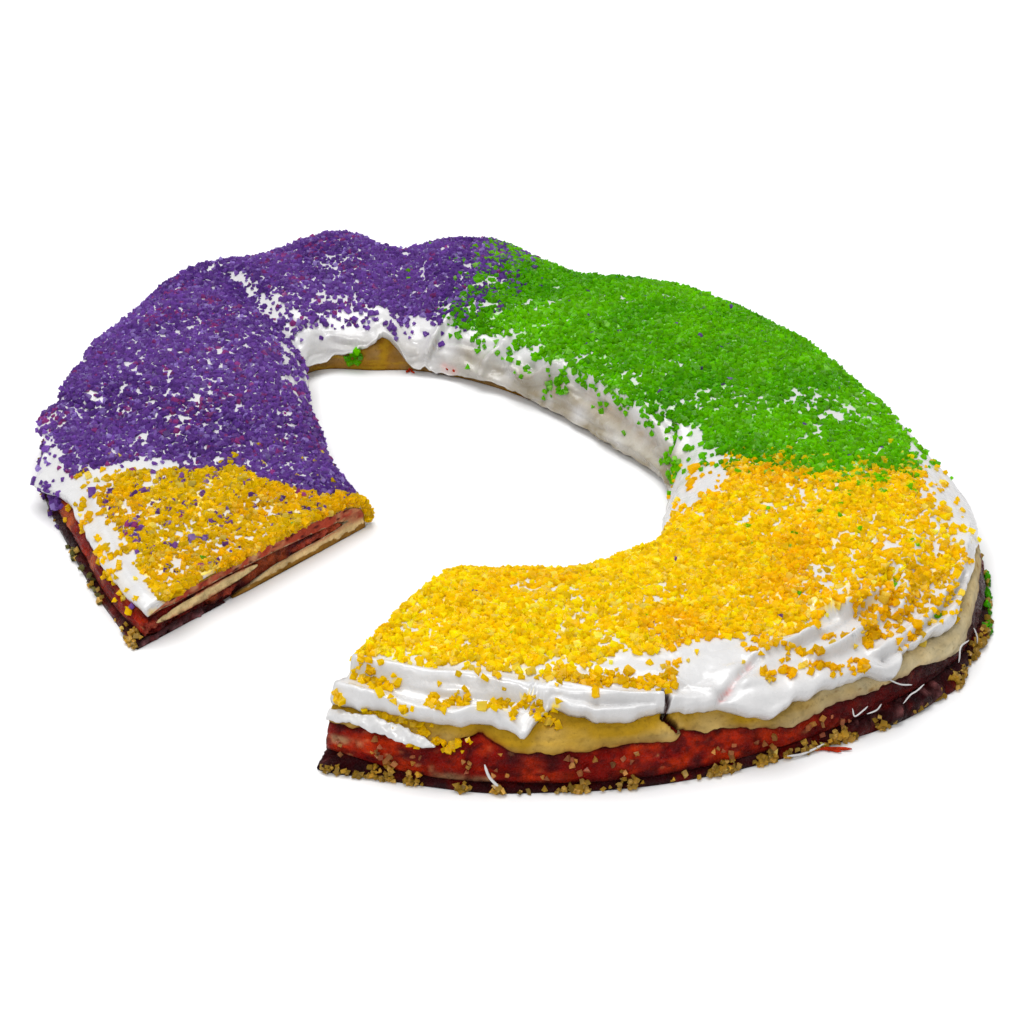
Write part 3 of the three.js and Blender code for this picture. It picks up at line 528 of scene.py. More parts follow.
def smooth_line(corners, count):
    """Points on a smooth curve through some corners."""
    corners = np.asarray(corners, dtype=float)
    slope = np.gradient(corners, axis=0)
    at = np.linspace(0, len(corners) - 1, count)
    low = np.minimum(at.astype(int), len(corners) - 2)
    share = (at - low)[:, None]
    start = (1 + 2 * share) * (1 - share) ** 2 * corners[low] + share * (1 - share) ** 2 * slope[low]
    return start + share ** 2 * (3 - 2 * share) * corners[low + 1] + share ** 2 * (share - 1) * slope[low + 1]


def distance_to_route(points, route):
    """How far each point is from a smooth line of places on the icing."""
    places = smooth_line(route, 4 * len(route))
    line = on_skin(places[:, 0], places[:, 1], ICING)
    least = np.full(points.shape[:-1], 1e9)
    for start, end in zip(line[:-1], line[1:]):
        along = end - start
        share = np.clip((points - start) @ along / (along @ along + TINY), 0, 1)
        gap = np.linalg.norm(points - start - share[..., None] * along, axis=-1)
        least = np.minimum(least, gap)
    return least


def fold_heights(points):
    """How far the folds lift the icing at each point, below 0 in a groove."""
    total = np.zeros(points.shape[:-1])
    for route, half, height in FOLDS:
        corners = on_skin(*np.array(route, dtype=float).T, ICING)
        centre = corners.mean(axis=0)
        span = np.linalg.norm(corners - centre, axis=-1).max() + 3 * half
        near = np.linalg.norm(points - centre, axis=-1) < span
        reach = distance_to_route(points[near], route) / half
        total[near] += height * np.exp(-reach ** 1.7)
    return total


def crack_depth(around, over, half):
    """From 0 away from the crack to 1 along its middle."""
    points = on_skin(around, over, ICING)
    wander = 0.45 * rough(points, 1.3, 41, 2)
    narrow = half * (0.55 + 0.45 * ease(24, 44, over))
    gap = np.maximum(distance_to_route(points, CRACK) + wander, 0)
    return np.exp(-(gap / narrow) ** 3) * (over < CRACK_TOP)


def icing_edges(around):
    """Where the icing ends on the outer and on the inner side, over the ring."""
    start = value_at(around, ICING_OUTER_EDGE) + 0.8 * ragged(around, 3.2, 45)
    end = value_at(around, ICING_INNER_EDGE) + 1.2 * ragged(around, 5, 46)
    return start, np.minimum(end, 178.5)


def dough_edge(around):
    """Where the dough ends on the outer side, over the ring."""
    return np.maximum(value_at(around, DOUGH_EDGE) + 0.9 * ragged(around, 2.6, 48), 17)


def icing_offset(around, over):
    """How far the icing's surface stands off the dough."""
    start, end = icing_edges(around)
    points = on_skin(around, over, ICING)
    edge = np.minimum(over - start, end - over)
    thin = 1 - 0.45 * ease(176, 189, around)
    low_side = np.maximum(1 - ease(58, 78, over), ease(122, 140, over))
    body = ICING * thin + LIP * np.exp(-(edge / 6) ** 2) + (1 + 0.6 * low_side) * fold_heights(points)
    body = body + 0.4 * rough(points, 26, 3) + 0.2 * rough(points, 9, 4)
    body = body + low_side * 0.9 * (np.abs(streaks(around, over, 26, 3.6, 6)) - 0.25)
    body = body + (1 - low_side) * 0.35 * (np.abs(rough(points, 12, 7, 2)) - 0.3)
    body = body + 0.07 * rough(points, 2.4, 5, 2)
    body = body * (1 - 0.6 * np.exp(-((around + 124.9) / 1.7) ** 2) * (over < 46))
    body = np.maximum(body, 0.55) * (1 - 0.93 * crack_depth(around, over, 0.75))
    turn = np.clip(edge / 2.6, 0, 1)
    return GAP + body * np.sqrt(np.clip(1 - (1 - turn) ** 2, 0, 1))


# ---- Meshes ----
def inset(profile, gap):
    """Moves each corner of closed profiles (stations, corners, 2) inward by gap."""
    before, after = np.roll(profile, 1, axis=1), np.roll(profile, -1, axis=1)
    first, second = unit(profile - before, TINY), unit(after - profile, TINY)
    normal = np.stack([first[..., 1] + second[..., 1], -first[..., 0] - second[..., 0]], axis=-1)
    normal = unit(normal, TINY)
    lean = np.maximum(normal[..., 0] * first[..., 1] - normal[..., 1] * first[..., 0], 0.6)
    return profile + normal * (gap / lean)[..., None]


def resampled(corners, count):
    """Spreads count points evenly along open lines (stations, corners, 2)."""
    steps = np.linalg.norm(np.diff(corners, axis=1), axis=-1)
    reach = np.concatenate([np.zeros((len(steps), 1)), np.cumsum(steps, axis=1)], axis=1)
    rows = []
    for line, at in zip(corners, reach):
        where = np.linspace(0, at[-1], count)
        rows.append(np.stack([np.interp(where, at, line[:, 0]), np.interp(where, at, line[:, 1])], axis=-1))
    return np.array(rows)


def inside_polygon(points, polygon):
    inside = np.zeros(len(points), dtype=bool)
    for (ax, ay), (bx, by) in zip(polygon, np.roll(polygon, -1, axis=0)):
        crosses = (ay > points[:, 1]) != (by > points[:, 1])
        at = ax + (points[:, 1] - ay) * (bx - ax) / (by - ay + 1e-12)
        inside ^= crosses & (points[:, 0] < at)
    return inside


def cap_faces(outline, hole, step, seed):
    """Fills a flat outline, less its hole, with small triangles. Returns its points, their place in
    the border or -1, and the triangles."""
    loops = [outline] if hole is None else [outline, hole]
    low, high = outline.min(axis=0), outline.max(axis=0)
    columns, rows = np.arange(low[0], high[0], step), np.arange(low[1], high[1], step * 0.87)
    grid = np.stack(np.meshgrid(columns, rows), axis=-1)
    grid[1::2, :, 0] += step / 2
    grid = grid.reshape(-1, 2)
    random = np.random.default_rng(seed)
    grid = grid + random.uniform(-0.15, 0.15, grid.shape) * step
    border = np.concatenate(loops)
    near = np.array([np.min(np.linalg.norm(border - point, axis=1)) for point in grid])
    keep = inside_polygon(grid, outline) & (near > step * 0.6)
    if hole is not None:
        keep &= ~inside_polygon(grid, hole)
    points = np.concatenate([border, grid[keep]])
    edges, start = [], 0
    for loop in loops:
        edges += [(start + i, start + (i + 1) % len(loop)) for i in range(len(loop))]
        start += len(loop)
    made = flat_geometry.delaunay_2d_cdt([Vector(p) for p in points], edges, [], 1, 1e-6)
    verts = np.array([tuple(v) for v in made[0]])
    origin = [source[0] if source else -1 for source in made[3]]
    faces = np.array([face for face in made[2] if len(face) == 3])
    middle = verts[faces].mean(axis=1)
    good = inside_polygon(middle, outline)
    if hole is not None:
        good &= ~inside_polygon(middle, hole)
    return verts, np.array(origin), faces[good]


class Body:
    """A swept piece while it is made. A place has five values: around, distance in from the outer
    foot, height, over (-1 inside the ring), and 1 on a cut face."""

    def __init__(self, stations):
        self.stations = stations
        self.around = stations[:, None]
        self.ring = Ring(self.around)
        self.places = []
        self.faces = []
        self.loops = []
        self.count = 0

    def add_loop(self, profile, over=None):
        """Skins closed profiles (stations, corners, 2)."""
        rows, corners = profile.shape[:2]
        over = np.full((rows, corners), -1.0) if over is None else over
        around = np.broadcast_to(self.around, (rows, corners))
        places = [around, profile[..., 0], profile[..., 1], over, np.zeros((rows, corners))]
        self.places.append(np.stack(places, axis=-1).reshape(-1, 5))
        i, j = np.meshgrid(np.arange(rows - 1), np.arange(corners), indexing="ij")
        a = self.count + i * corners + j
        b = self.count + i * corners + (j + 1) % corners
        quads = np.stack([a, a + corners, b + corners, b], axis=-1).reshape(-1, 4)
        self.faces += quads.tolist()
        self.loops.append((self.count, corners, profile))
        self.count += rows * corners

    def cap(self, end, step, seed):
        """Closes one end with a fine net of triangles."""
        row = 0 if end == "front" else len(self.stations) - 1
        loops = [profile[row] for _, _, profile in self.loops]
        border = [start + row * corners + k for start, corners, _ in self.loops for k in range(corners)]
        verts, origin, faces = cap_faces(loops[0], loops[1] if len(loops) > 1 else None, step, seed)
        fresh = (origin < 0) | (origin >= len(border))
        index = np.zeros(len(verts), dtype=int)
        index[~fresh] = np.array(border)[origin[~fresh]]
        index[fresh] = self.count + np.arange(fresh.sum())
        new = np.empty((fresh.sum(), 5))
        new[:, 0] = self.stations[row]
        new[:, 1:3] = verts[fresh]
        new[:, 3] = -1
        new[:, 4] = 1
        self.places.append(new)
        self.count += len(new)
        corners = verts[faces]
        area = np.cross(corners[:, 1] - corners[:, 0], corners[:, 2] - corners[:, 0])
        turned = (area > 0) == (end == "front")
        faces = np.where(turned[:, None], faces[:, ::-1], faces)
        self.faces += index[faces].tolist()

    def closed(self, front_step, left_step, depth, seeds):
        """Closes both ends and roughens the cut faces. Returns the places and the points."""
        self.cap("front", front_step, seeds[0])
        self.cap("left", left_step, seeds[1])
        places = np.concatenate(self.places)
        points = Ring(places[:, 0]).in_space(places[:, 1], places[:, 2])
        return places, cut_relief(points, places, depth, seeds[2])


def cut_relief(points, places, depth, seed):
    """Roughens the cut faces, and leaves their rims in place."""
    on_cap = places[:, 4] > 0.5
    ring = Ring(places[:, 0])
    side = np.where(places[:, 0] < 0, -1.0, 1.0)
    along = np.stack([-ring.out[1], ring.out[0], 0 * side], axis=-1) * side[:, None]
    lumps = rough(points, 1.5, seed, 2) - 0.3
    return points + along * (on_cap * depth * lumps)[:, None]


def new_piece(name, points, faces, material, paint, smooth=True):
    """Makes a mesh object from points in millimetres, with a colour for each point."""
    mesh = bpy.data.meshes.new(name)
    mesh.from_pydata((np.asarray(points) * MM).tolist(), [], faces)
    mesh.validate()
    mesh.update()
    mesh.polygons.foreach_set("use_smooth", np.full(len(mesh.polygons), smooth))
    layer = mesh.color_attributes.new("paint", "FLOAT_COLOR", "POINT")
    values = np.concatenate([paint, np.ones((len(paint), 1))], axis=1)
    layer.data.foreach_set("color", values.astype(np.float32).ravel())
    piece = bpy.data.objects.new(name, mesh)
    bpy.context.scene.collection.objects.link(piece)
    mesh.materials.append(material)
    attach(piece, "root")
    return piece


# ---- Paint: a colour for each point of a mesh ----
def blend_paint(paint, colour, amount):
    """Goes from the paint towards a colour, by an amount from 0 to 1 for each point."""
    return paint + (np.asarray(colour) - paint) * np.clip(amount, 0, 1)[:, None]


def plain_paint(colour, count):
    return np.tile(np.array(colour), (count, 1))


# ---- Materials ----
def new_material(name, roughness, specular, coat=0.0, coat_roughness=0.1):
    material = bpy.data.materials.new(name)
    material.use_nodes = True
    tree = material.node_tree
    shader = tree.nodes["Principled BSDF"]
    shader.inputs["Roughness"].default_value = roughness
    shader.inputs["Specular IOR Level"].default_value = specular
    shader.inputs["Coat Weight"].default_value = coat
    shader.inputs["Coat Roughness"].default_value = coat_roughness
    return material, tree, shader


def add_node(tree, kind, **values):
    """Adds a node. A value goes to the input of that name, or else to the node's own setting."""
    node = tree.nodes.new(kind)
    for key, value in values.items():
        if key in node.inputs:
            node.inputs[key].default_value = value
        else:
            setattr(node, key, value)
    return node


def noise_output(tree, scale, detail=3.0, roughness=0.55):
    """Noise on the piece's own coordinates, in lumps for each metre."""
    place = tree.nodes.get("Texture Coordinate") or tree.nodes.new("ShaderNodeTexCoord")
    node = add_node(tree, "ShaderNodeTexNoise", Scale=scale, Detail=detail, Roughness=roughness)
    tree.links.new(place.outputs["Object"], node.inputs["Vector"])
    return node.outputs["Fac"]


def paint_output(tree):
    return add_node(tree, "ShaderNodeAttribute", attribute_name="paint").outputs["Color"]


def shaded(tree, colour, shade):
    """A colour times a shade."""
    node = add_node(tree, "ShaderNodeMix", data_type="RGBA", blend_type="MULTIPLY")
    node.inputs[0].default_value = 1.0
    tree.links.new(colour, node.inputs[6])
    tree.links.new(shade, node.inputs[7])
    return node.outputs[2]


def ranged(tree, value, low, high, to_low, to_high):
    """Maps the values from low to high onto a new range."""
    node = add_node(tree, "ShaderNodeMapRange")
    tree.links.new(value, node.inputs[0])
    for socket, number in zip(node.inputs[1:5], (low, high, to_low, to_high)):
        socket.default_value = number
    return node.outputs[0]


def noise_between(tree, low, high, scale, detail=3.0, roughness=0.55):
    """Noise as values from low to high."""
    return ranged(tree, noise_output(tree, scale, detail, roughness), 0.3, 0.7, low, high)


def painted(tree, shader, *shades):
    """Gives a shader the mesh's own paint times each shade, and returns that colour."""
    colour = paint_output(tree)
    for shade in shades:
        colour = shaded(tree, colour, shade)
    tree.links.new(colour, shader.inputs["Base Color"])
    return colour


def bump(tree, shader, height, distance, strength):
    """Adds relief in the shading, over any that is there, with its distance in metres."""
    node = add_node(tree, "ShaderNodeBump", Distance=distance, Strength=strength)
    tree.links.new(height, node.inputs["Height"])
    before = shader.inputs["Normal"]
    if before.is_linked:
        tree.links.new(before.links[0].from_socket, node.inputs["Normal"])
    tree.links.new(node.outputs["Normal"], before)


def icing_material():
    material, tree, shader = new_material("white_icing", 0.3, 0.5, 0.2, 0.08)
    painted(tree, shader, noise_between(tree, 0.94, 1.02, 140))
    tree.links.new(noise_between(tree, 0.16, 0.38, 260, 2), shader.inputs["Roughness"])
    bump(tree, shader, noise_output(tree, 420, 4), 0.0006, 0.35)
    return material


def dough_material(name, crumb):
    """Dry dough with fine relief of the given strength."""
    material, tree, shader = new_material(name, 0.62, 0.08)
    mottle = ranged(tree, noise_output(tree, 130, 4, 0.6), 0.35, 0.68, 0.76, 1.1)
    speck = ranged(tree, noise_output(tree, 900, 2), 0.6, 0.74, 1.0, 0.72)
    painted(tree, shader, mottle, speck)
    tree.links.new(noise_between(tree, 0.5, 0.75, 300), shader.inputs["Roughness"])
    bump(tree, shader, noise_output(tree, 700, 5, 0.65), 0.0009, crumb)
    bump(tree, shader, noise_output(tree, 150, 3), 0.0015, 0.5)
    return material


def wet_material(name, roughness, contrast):
    """Wet fruit, cloudy by the given contrast."""
    material, tree, shader = new_material(name, roughness, 0.11)
    painted(tree, shader, noise_between(tree, 1 - contrast, 1 + contrast, 320, 4, 0.6))
    wetness = noise_between(tree, roughness - 0.12, roughness + 0.2, 500)
    tree.links.new(wetness, shader.inputs["Roughness"])
    bump(tree, shader, noise_output(tree, 800, 5, 0.65), 0.0018, 1.0)
    return material


def sugar_material(name):
    """Clear coloured grains: much of the light that falls on them goes on through."""
    material, tree, shader = new_material(name, 0.12, 0.25)
    colour = painted(tree, shader, noise_between(tree, 0.92, 1.08, 500, 2))
    clear = add_node(tree, "ShaderNodeGamma")
    clear.inputs["Gamma"].default_value = 0.6
    tree.links.new(colour, clear.inputs["Color"])
    through = add_node(tree, "ShaderNodeBsdfTranslucent")
    tree.links.new(clear.outputs["Color"], through.inputs["Color"])
    join = add_node(tree, "ShaderNodeMixShader")
    join.inputs[0].default_value = 0.72
    tree.links.new(shader.outputs[0], join.inputs[1])
    tree.links.new(through.outputs[0], join.inputs[2])
    tree.links.new(join.outputs[0], tree.nodes["Material Output"].inputs["Surface"])
    return material


# ---- Stations ----
def spread(runs):
    """Places round the ring, from runs of (from, to, step)."""
    parts = [np.linspace(a, b, int(round((b - a) / step)), endpoint=False) for a, b, step in runs]
    return np.concatenate(parts + [np.array([runs[-1][1]])])


FINE_STATIONS = spread((
    (FRONT_CUT, -111, 0.42), (-111, -106, 0.12), (-106, -56, 0.42), (-56, -34, 0.8), (-34, 44, 0.9),
    (44, 112, 0.85), (112, LEFT_CUT, 0.75),
))


def with_inside(over, inside):
    """The places over the ring of a profile, for its skin and then for its points inside the ring."""
    return np.concatenate([over, np.full(inside.shape[:2], -1.0)], axis=1)


# ---- Dough ----
def hollow_line(ring, edge, count):
    """The cavity's outline in a section, from the floor under it to the dough's lower edge."""
    corners = [ring.inside(*at) for at in FLOOR_OF_CAVITY + BACK_OF_CAVITY + ROOF_OF_CAVITY]
    lip_at, lip_height = ring.skin(edge, 0.0)
    corners.append((lip_at + DOUGH_LIP * ring.width + 3, lip_height + 0.2))
    corners.insert(0, (DOUGH_FOOT * ring.width, 0.0 * ring.width))
    return resampled(np.concatenate([np.stack(at, axis=-1) for at in corners], axis=1), count)


def make_dough(colours):
    body = Body(FINE_STATIONS)
    ring, around = body.ring, body.around
    edge = dough_edge(around)
    shares = np.concatenate([
        0.012 * (1 - np.cos(np.linspace(0, 1.5, 4))), np.linspace(0.018, 0.16, 22),
        np.linspace(0.2, 0.78, 13), np.linspace(0.8, 1, 18),
    ])
    over = edge + (180 - edge) * shares
    surface = ring.in_space(*ring.skin(over, 0.0))
    lumps = 0.3 * rough(surface, 11, 8) + 0.16 * rough(surface, 2.6, 9, 2)
    wrinkles = 0.55 * np.abs(streaks(around, over, 20, 2.6, 10)) + 0.2 * streaks(around, over, 9, 1.2, 11)
    swell = 0.7 * np.sin(np.clip((over - edge) / 16, 0, 1) * math.pi) - 0.35
    calm = ease(0, 2.5, surface[..., 2])
    offset = np.minimum((lumps + swell + wrinkles * (over < 60)) * calm, 0.9)
    offset = offset - 4.2 * crack_depth(around, over, 0.95)
    skin = np.stack(ring.skin(over, offset), axis=-1)
    hollow = hollow_line(ring, edge, 24)
    body.add_loop(np.concatenate([skin, hollow], axis=1), with_inside(over, hollow))
    places, points = body.closed(0.7, 0.45, 0.45, (31, 32, 51))
    material = dough_material("baked_dough", 0.6)
    return new_piece("baked_dough", points, body.faces, material, dough_paint(places, points, colours))


def dough_paint(places, points, colours):
    shade = rough(points, 7, 61, 3)
    fine = streaks(places[:, 0], places[:, 3], 16, 1.6, 65)
    paint = plain_paint(colours.dough, len(places))
    paint = dough_side_paint(paint, places, points, colours, shade, fine)
    paint = dough_wall_paint(paint, places, colours, shade, fine)
    return dough_cut_paint(paint, places, points, colours, shade, fine)


def dough_side_paint(paint, places, points, colours, shade, fine):
    """The outer side: golden under the icing, with pores, specks and a red edge at the filling."""
    around, over = places[:, 0], places[:, 3]
    golden, browned, filling = (np.array(c) for c in (colours.golden, colours.browned, colours.filling))
    outer = (over >= 0) & (over < 90)
    icing_start, _ = icing_edges(around)
    brown = lobe_sum(around, BROWNER_DOUGH)
    under = ease(-12, 0, over - icing_start)
    paint = blend_paint(paint, TAN_SIDE, outer * np.clip(brown, 0, 1) * 0.9)
    gold = 0.1 + 0.4 * brown + 0.55 * under * (0.4 + brown) + 0.22 * shade + 0.14 * fine
    paint = blend_paint(paint, golden, outer * gold)
    pores = ease(0.35, 0.9, rough(points, 1.1, 68, 2))
    paint = paint * (1 - 0.22 * outer * pores)[:, None]
    wet = outer * np.exp(-np.clip(over - dough_edge(around), 0, None) / 1.3)
    paint = blend_paint(paint, filling * 0.6, wet * (0.5 + 0.5 * shade))
    speck = outer * ease(0.75, 1.0, rough(points, 1.4, 67, 2))
    paint = blend_paint(paint, browned * 0.8, speck * 0.7)
    paint = paint * (1 + 0.12 * outer * fine)[:, None]
    gap = crack_depth(around, np.maximum(over, 0), 1.15) * outer
    return blend_paint(paint, DEEP_CRACK, gap * 1.6)


def dough_wall_paint(paint, places, colours, shade, fine):
    """The bare inner wall: browned, with golden streaks, and darkest at the foot."""
    golden, browned = np.array(colours.golden), np.array(colours.browned)
    height, over = places[:, 2], places[:, 3]
    inner = ease(125, 150, over) * (over >= 0)
    paint = blend_paint(paint, browned, inner * (0.9 + 0.2 * shade))
    paint = blend_paint(paint, golden * 1.15, inner * ease(0.1, 0.9, fine + shade) * 0.7)
    return blend_paint(paint, browned * 0.6, inner * np.exp(-height / 1.0) * 0.5)


def dough_cut_paint(paint, places, points, colours, shade, fine):
    """The cut faces: pale crumb on a browned bottom, soaked at the filling, with seams of jam on top."""
    ring = Ring(places[:, 0])
    share = places[:, 1] / ring.width
    height, over = places[:, 2], places[:, 3]
    level = height / ring.crest
    soaked = np.array(colours.soaked)
    bottom = (over < 0) & (height < 1.5 + 0.8 * rough(points, 3, 62)) & (share > 0.33)
    paint = blend_paint(paint, colours.browned, bottom * (0.8 + 0.4 * fine))
    cut = places[:, 4] > 0.5
    crumb = np.array(colours.crumb) * (1 + 0.2 * shade[:, None])
    paint = np.where((cut & ~bottom)[:, None], crumb, paint)
    high = cut & (level > 0.6)
    paint = blend_paint(paint, soaked, high * (0.95 + 0.4 * rough(points, 3.5, 63, 2)))
    seam = high * ease(0.15, 0.7, rough(points * (1, 1, 2.2), 3, 66, 2))
    paint = blend_paint(paint, np.array(colours.jam) * 2, seam)
    near_filling = cut & (share > 0.36) & (level > 0.16) & (level < 0.6)
    return blend_paint(paint, soaked * 0.8, near_filling * ease(0.2, 0.4, level) * (0.7 + 0.5 * shade))


def middle_profile(ring, around, grow, sides):
    """The outline of the layer of dough in the filling, moved out by grow."""
    stretch = ease(*MIDDLE_STRETCH, around)
    start = MIDDLE["from"] + (MIDDLE["from_at_cut"] - MIDDLE["from"]) * stretch
    turn = np.linspace(0, 2 * math.pi, sides, endpoint=False)[None, :]
    share = (start + MIDDLE["to"]) / 2 - (MIDDLE["to"] - start) / 2 * np.cos(turn)
    height = MIDDLE["height"] + MIDDLE["half_height"] * np.sin(turn)
    lean = 0.05 * (share - 0.28) / 0.2 * stretch
    distance, level = ring.inside(share, height + lean)
    return inset(np.stack(np.broadcast_arrays(distance, level), axis=-1), -grow)


def make_middle_dough(colours):
    body = Body(spread(((FRONT_CUT, -110, 2.0), (-110, 160, 6.0), (160, LEFT_CUT, 1.5))))
    body.add_loop(middle_profile(body.ring, body.around, 0.0, 40))
    places, points = body.closed(0.6, 0.4, 0.55, (33, 34, 52))
    shade = rough(points, 2.6, 64, 2)
    paint = plain_paint(colours.crumb, len(places)) * (1.05, 1.08, 1.1)
    paint = paint * (1 + 0.16 * shade[:, None])
    middle = (places[:, 2] / Ring(places[:, 0]).even_crest - MIDDLE["height"]) / MIDDLE["half_height"]
    rim = ease(0.45, 1.05, np.abs(middle))
    paint = blend_paint(paint, colours.soaked, rim * (0.7 + 0.5 * shade))
    return new_piece("middle_crumb", points, body.faces, dough_material("middle_crumb", 0.9), paint)


# ---- Filling and jam ----
def jam_profile(ring, around):
    """The jam's outline, from its outer foot over its top to its inner foot."""
    out, face = -value_at(around, JAM_OUT), value_at(around, JAM_FACE)
    corners = [
        (out, 0.0), (out - 0.1, face * 0.35), (out + 0.15, face * 0.75), (out * 0.3 + 0.3, face + 0.3),
        (1.4, face + 0.6),
    ]
    corners += [ring.inside(*at) for at in JAM_TOP]
    corners += [((DOUGH_FOOT - 0.025) * ring.width, 0.0)]
    return np.concatenate([np.stack(np.broadcast_arrays(a, b + 0 * a), axis=-1) for a, b in corners], axis=1)


def make_filling(colours):
    body = Body(FINE_STATIONS)
    ring, around = body.ring, body.around
    edge = dough_edge(around)
    jam = jam_profile(ring, around)[:, 4:-1][:, ::-1]
    low_over = np.degrees(np.arcsin(np.clip((value_at(around, JAM_FACE) + 0.8) / ring.crest, 0, 0.9)))
    low_over = np.minimum(low_over, edge - 3)
    rows = np.linspace(0, 1, 26)[None, :]
    face_over = low_over + (edge * 0.99 - low_over) * rows
    surface = ring.in_space(*ring.skin(face_over, 0.0))
    puff = np.sin(rows * math.pi) ** 0.6
    lumps = 1.1 * (np.abs(rough(surface, 8.5, 12)) - 0.3) + 0.5 * rough(surface, 2.4, 13, 2)
    lumps = lumps + 0.4 * np.abs(streaks(around, face_over, 16, 1.8, 14)) + 0.2 * rough(surface, 1.0, 15)
    strip = np.exp(-(distance_to_route(surface, PALE_STRIP) / 2.6) ** 4)
    face = np.stack(ring.skin(face_over, -0.9 + puff * (lumps + 0.45) + 0.9 * strip), axis=-1)
    behind = hollow_line(ring, edge, 22)[:, :2:-1]
    behind = resampled(np.concatenate([behind, jam], axis=1), 34)
    behind = inset(np.concatenate([behind, face[:, :1]], axis=1), GAP * 0.6)[:, :-1]
    behind = behind[:, 1:]
    body.add_loop(np.concatenate([face, behind], axis=1), with_inside(face_over, behind))
    body.add_loop(middle_profile(ring, around, 0.15, 24)[:, ::-1])
    places, points = body.closed(0.6, 0.4, 0.9, (35, 36, 53))
    material = wet_material("red_filling", 0.22, 0.45)
    return new_piece("red_filling", points, body.faces, material, filling_paint(places, points, colours))


def filling_paint(places, points, colours):
    around, height, over = places[:, 0], places[:, 2], places[:, 3]
    pale, dark = np.array(colours.dough), np.array(colours.jam)
    paint = plain_paint(colours.filling, len(places))
    lump = rough(points, 9, 71, 2)
    glow = rough(points * (1, 1, 1.6), 7, 72, 3) + lobe_sum(around, BRIGHTER_FILLING)
    paint = blend_paint(paint, colours.filling_bright, 0.15 + 0.9 * glow)
    paint = blend_paint(paint, dark * 1.6, ease(0.1, 0.7, lump) * 0.85)
    vein = ease(0.2, 0.6, rough(points * (1, 1, 1.5), 2.6, 70, 2))
    paint = blend_paint(paint, dark * 2, vein * 0.6)
    # Pale specks: bits of fruit, and painted glints on the wet surface.
    bits = ease(0.55, 0.8, rough(points, 1.5, 69)) * ease(-0.2, 0.3, rough(points, 9, 60))
    paint = blend_paint(paint, PALE_BITS_AND_GLINTS, bits * 0.6)
    burgundy = ease(-97, -84, around) * (1 - ease(-54, -40, around))
    paint = blend_paint(paint, dark * 1.4, burgundy * (0.9 + 0.3 * lump))
    patches = ease(-0.1, 0.4, rough(points, 7, 79, 2)) * ease(150, 166, around)
    paint = blend_paint(paint, RUSTY_FILLING, patches)
    # Painted shadow under the dough's edge: the filling is dark along its top.
    top = np.exp(-np.abs(dough_edge(around) - over) / 1.8) * (over > 0)
    paint = blend_paint(paint, dark * 1.5, top * 0.8)
    paint = blend_paint(paint, dark, np.exp(-np.clip(height - 2.2, 0, None) / 1.3) * 0.85)
    strip = np.exp(-(distance_to_route(points, PALE_STRIP) / 2.5) ** 6)
    strip = strip + np.exp(-(distance_to_route(points, PALE_END) / 2.6) ** 6)
    paint = blend_paint(paint, pale * (0.95, 0.75, 0.6), strip * (0.85 + 0.4 * lump) * (over > 0))
    cut = places[:, 4] > 0.5
    paint = blend_paint(paint, dark, cut * (0.6 + 0.6 * rough(points, 5, 73, 2)))
    pinkish = cut * ease(0.1, 0.6, rough(points * (1, 1, 2.5), 7, 74, 2))
    return blend_paint(paint, colours.soaked, pinkish * 0.8)


def make_jam(colours):
    body = Body(FINE_STATIONS)
    profile = jam_profile(body.ring, body.around)
    body.add_loop(resampled(np.concatenate([profile, profile[:, :1]], axis=1), 45)[:, :-1])
    places, points = body.closed(0.6, 0.4, 0.7, (37, 38, 54))
    around, distance = places[:, 0], places[:, 1]
    ring = Ring(around)
    free = (distance < 1.5) * ease(0.0, 0.6, points[:, 2])
    thick = 0.8 + 1.0 * lobe_sum(around, THICKER_JAM)
    lump = thick * (0.7 * rough(points, 2.8, 75, 2) + 0.8 * np.abs(rough(points, 6.5, 76)) - 0.3) * free
    points = points + np.stack([ring.out[0] * lump, ring.out[1] * lump, 0.6 * lump], axis=-1)
    points[:, 2] = np.maximum(points[:, 2], 0.0)
    material = wet_material("dark_jam", 0.18, 0.5)
    return new_piece("dark_jam", points, body.faces, material, jam_paint(places, points, colours))


def jam_paint(places, points, colours):
    """Dark jam, with redder and paler places, and a pink smear at the foot of the cut faces."""
    around, distance = places[:, 0], places[:, 1]
    paint = plain_paint(colours.jam, len(places))
    paint = blend_paint(paint, np.array(colours.filling) * 0.5, ease(0.1, 0.7, rough(points, 5, 77, 2)))
    pale = ease(0.3, 0.8, rough(points, 2.4, 59, 2)) * lobe_sum(around, PALER_JAM)
    paint = blend_paint(paint, DULL_JAM, pale * 0.7)
    smear = (places[:, 4] > 0.5) * np.exp(-points[:, 2] / 0.8) * (distance < 24)
    return blend_paint(paint, PINK_SMEAR, smear * (0.5 + 0.6 * rough(points, 3, 78)))


# ---- Icing ----
def make_icing(colours):
    body = Body(FINE_STATIONS)
    ring, around = body.ring, body.around
    start, end = icing_edges(around)
    curl = 1 - np.cos(np.linspace(0, math.pi / 2, 8))
    shares = np.concatenate([
        0.02 * curl, np.linspace(0.024, 0.3, 68), np.linspace(0.31, 0.7, 32),
        np.linspace(0.708, 0.98, 38), 1 - 0.02 * curl[::-1],
    ])[None, :]
    over = start + (end - start) * shares
    top = np.stack(ring.skin(over, icing_offset(np.broadcast_to(around, over.shape), over)), axis=-1)
    under_over = start + (end - start) * np.linspace(0.995, 0.005, 12)[None, :]
    under = np.stack(ring.skin(under_over, GAP * 0.4), axis=-1)
    body.add_loop(np.concatenate([top, under], axis=1), np.concatenate([over, under_over], axis=1))
    places, points = body.closed(0.8, 0.6, 0.3, (39, 40, 55))
    paint = icing_paint(places, points, colours)
    return new_piece("white_icing", points, body.faces, icing_material(), paint)


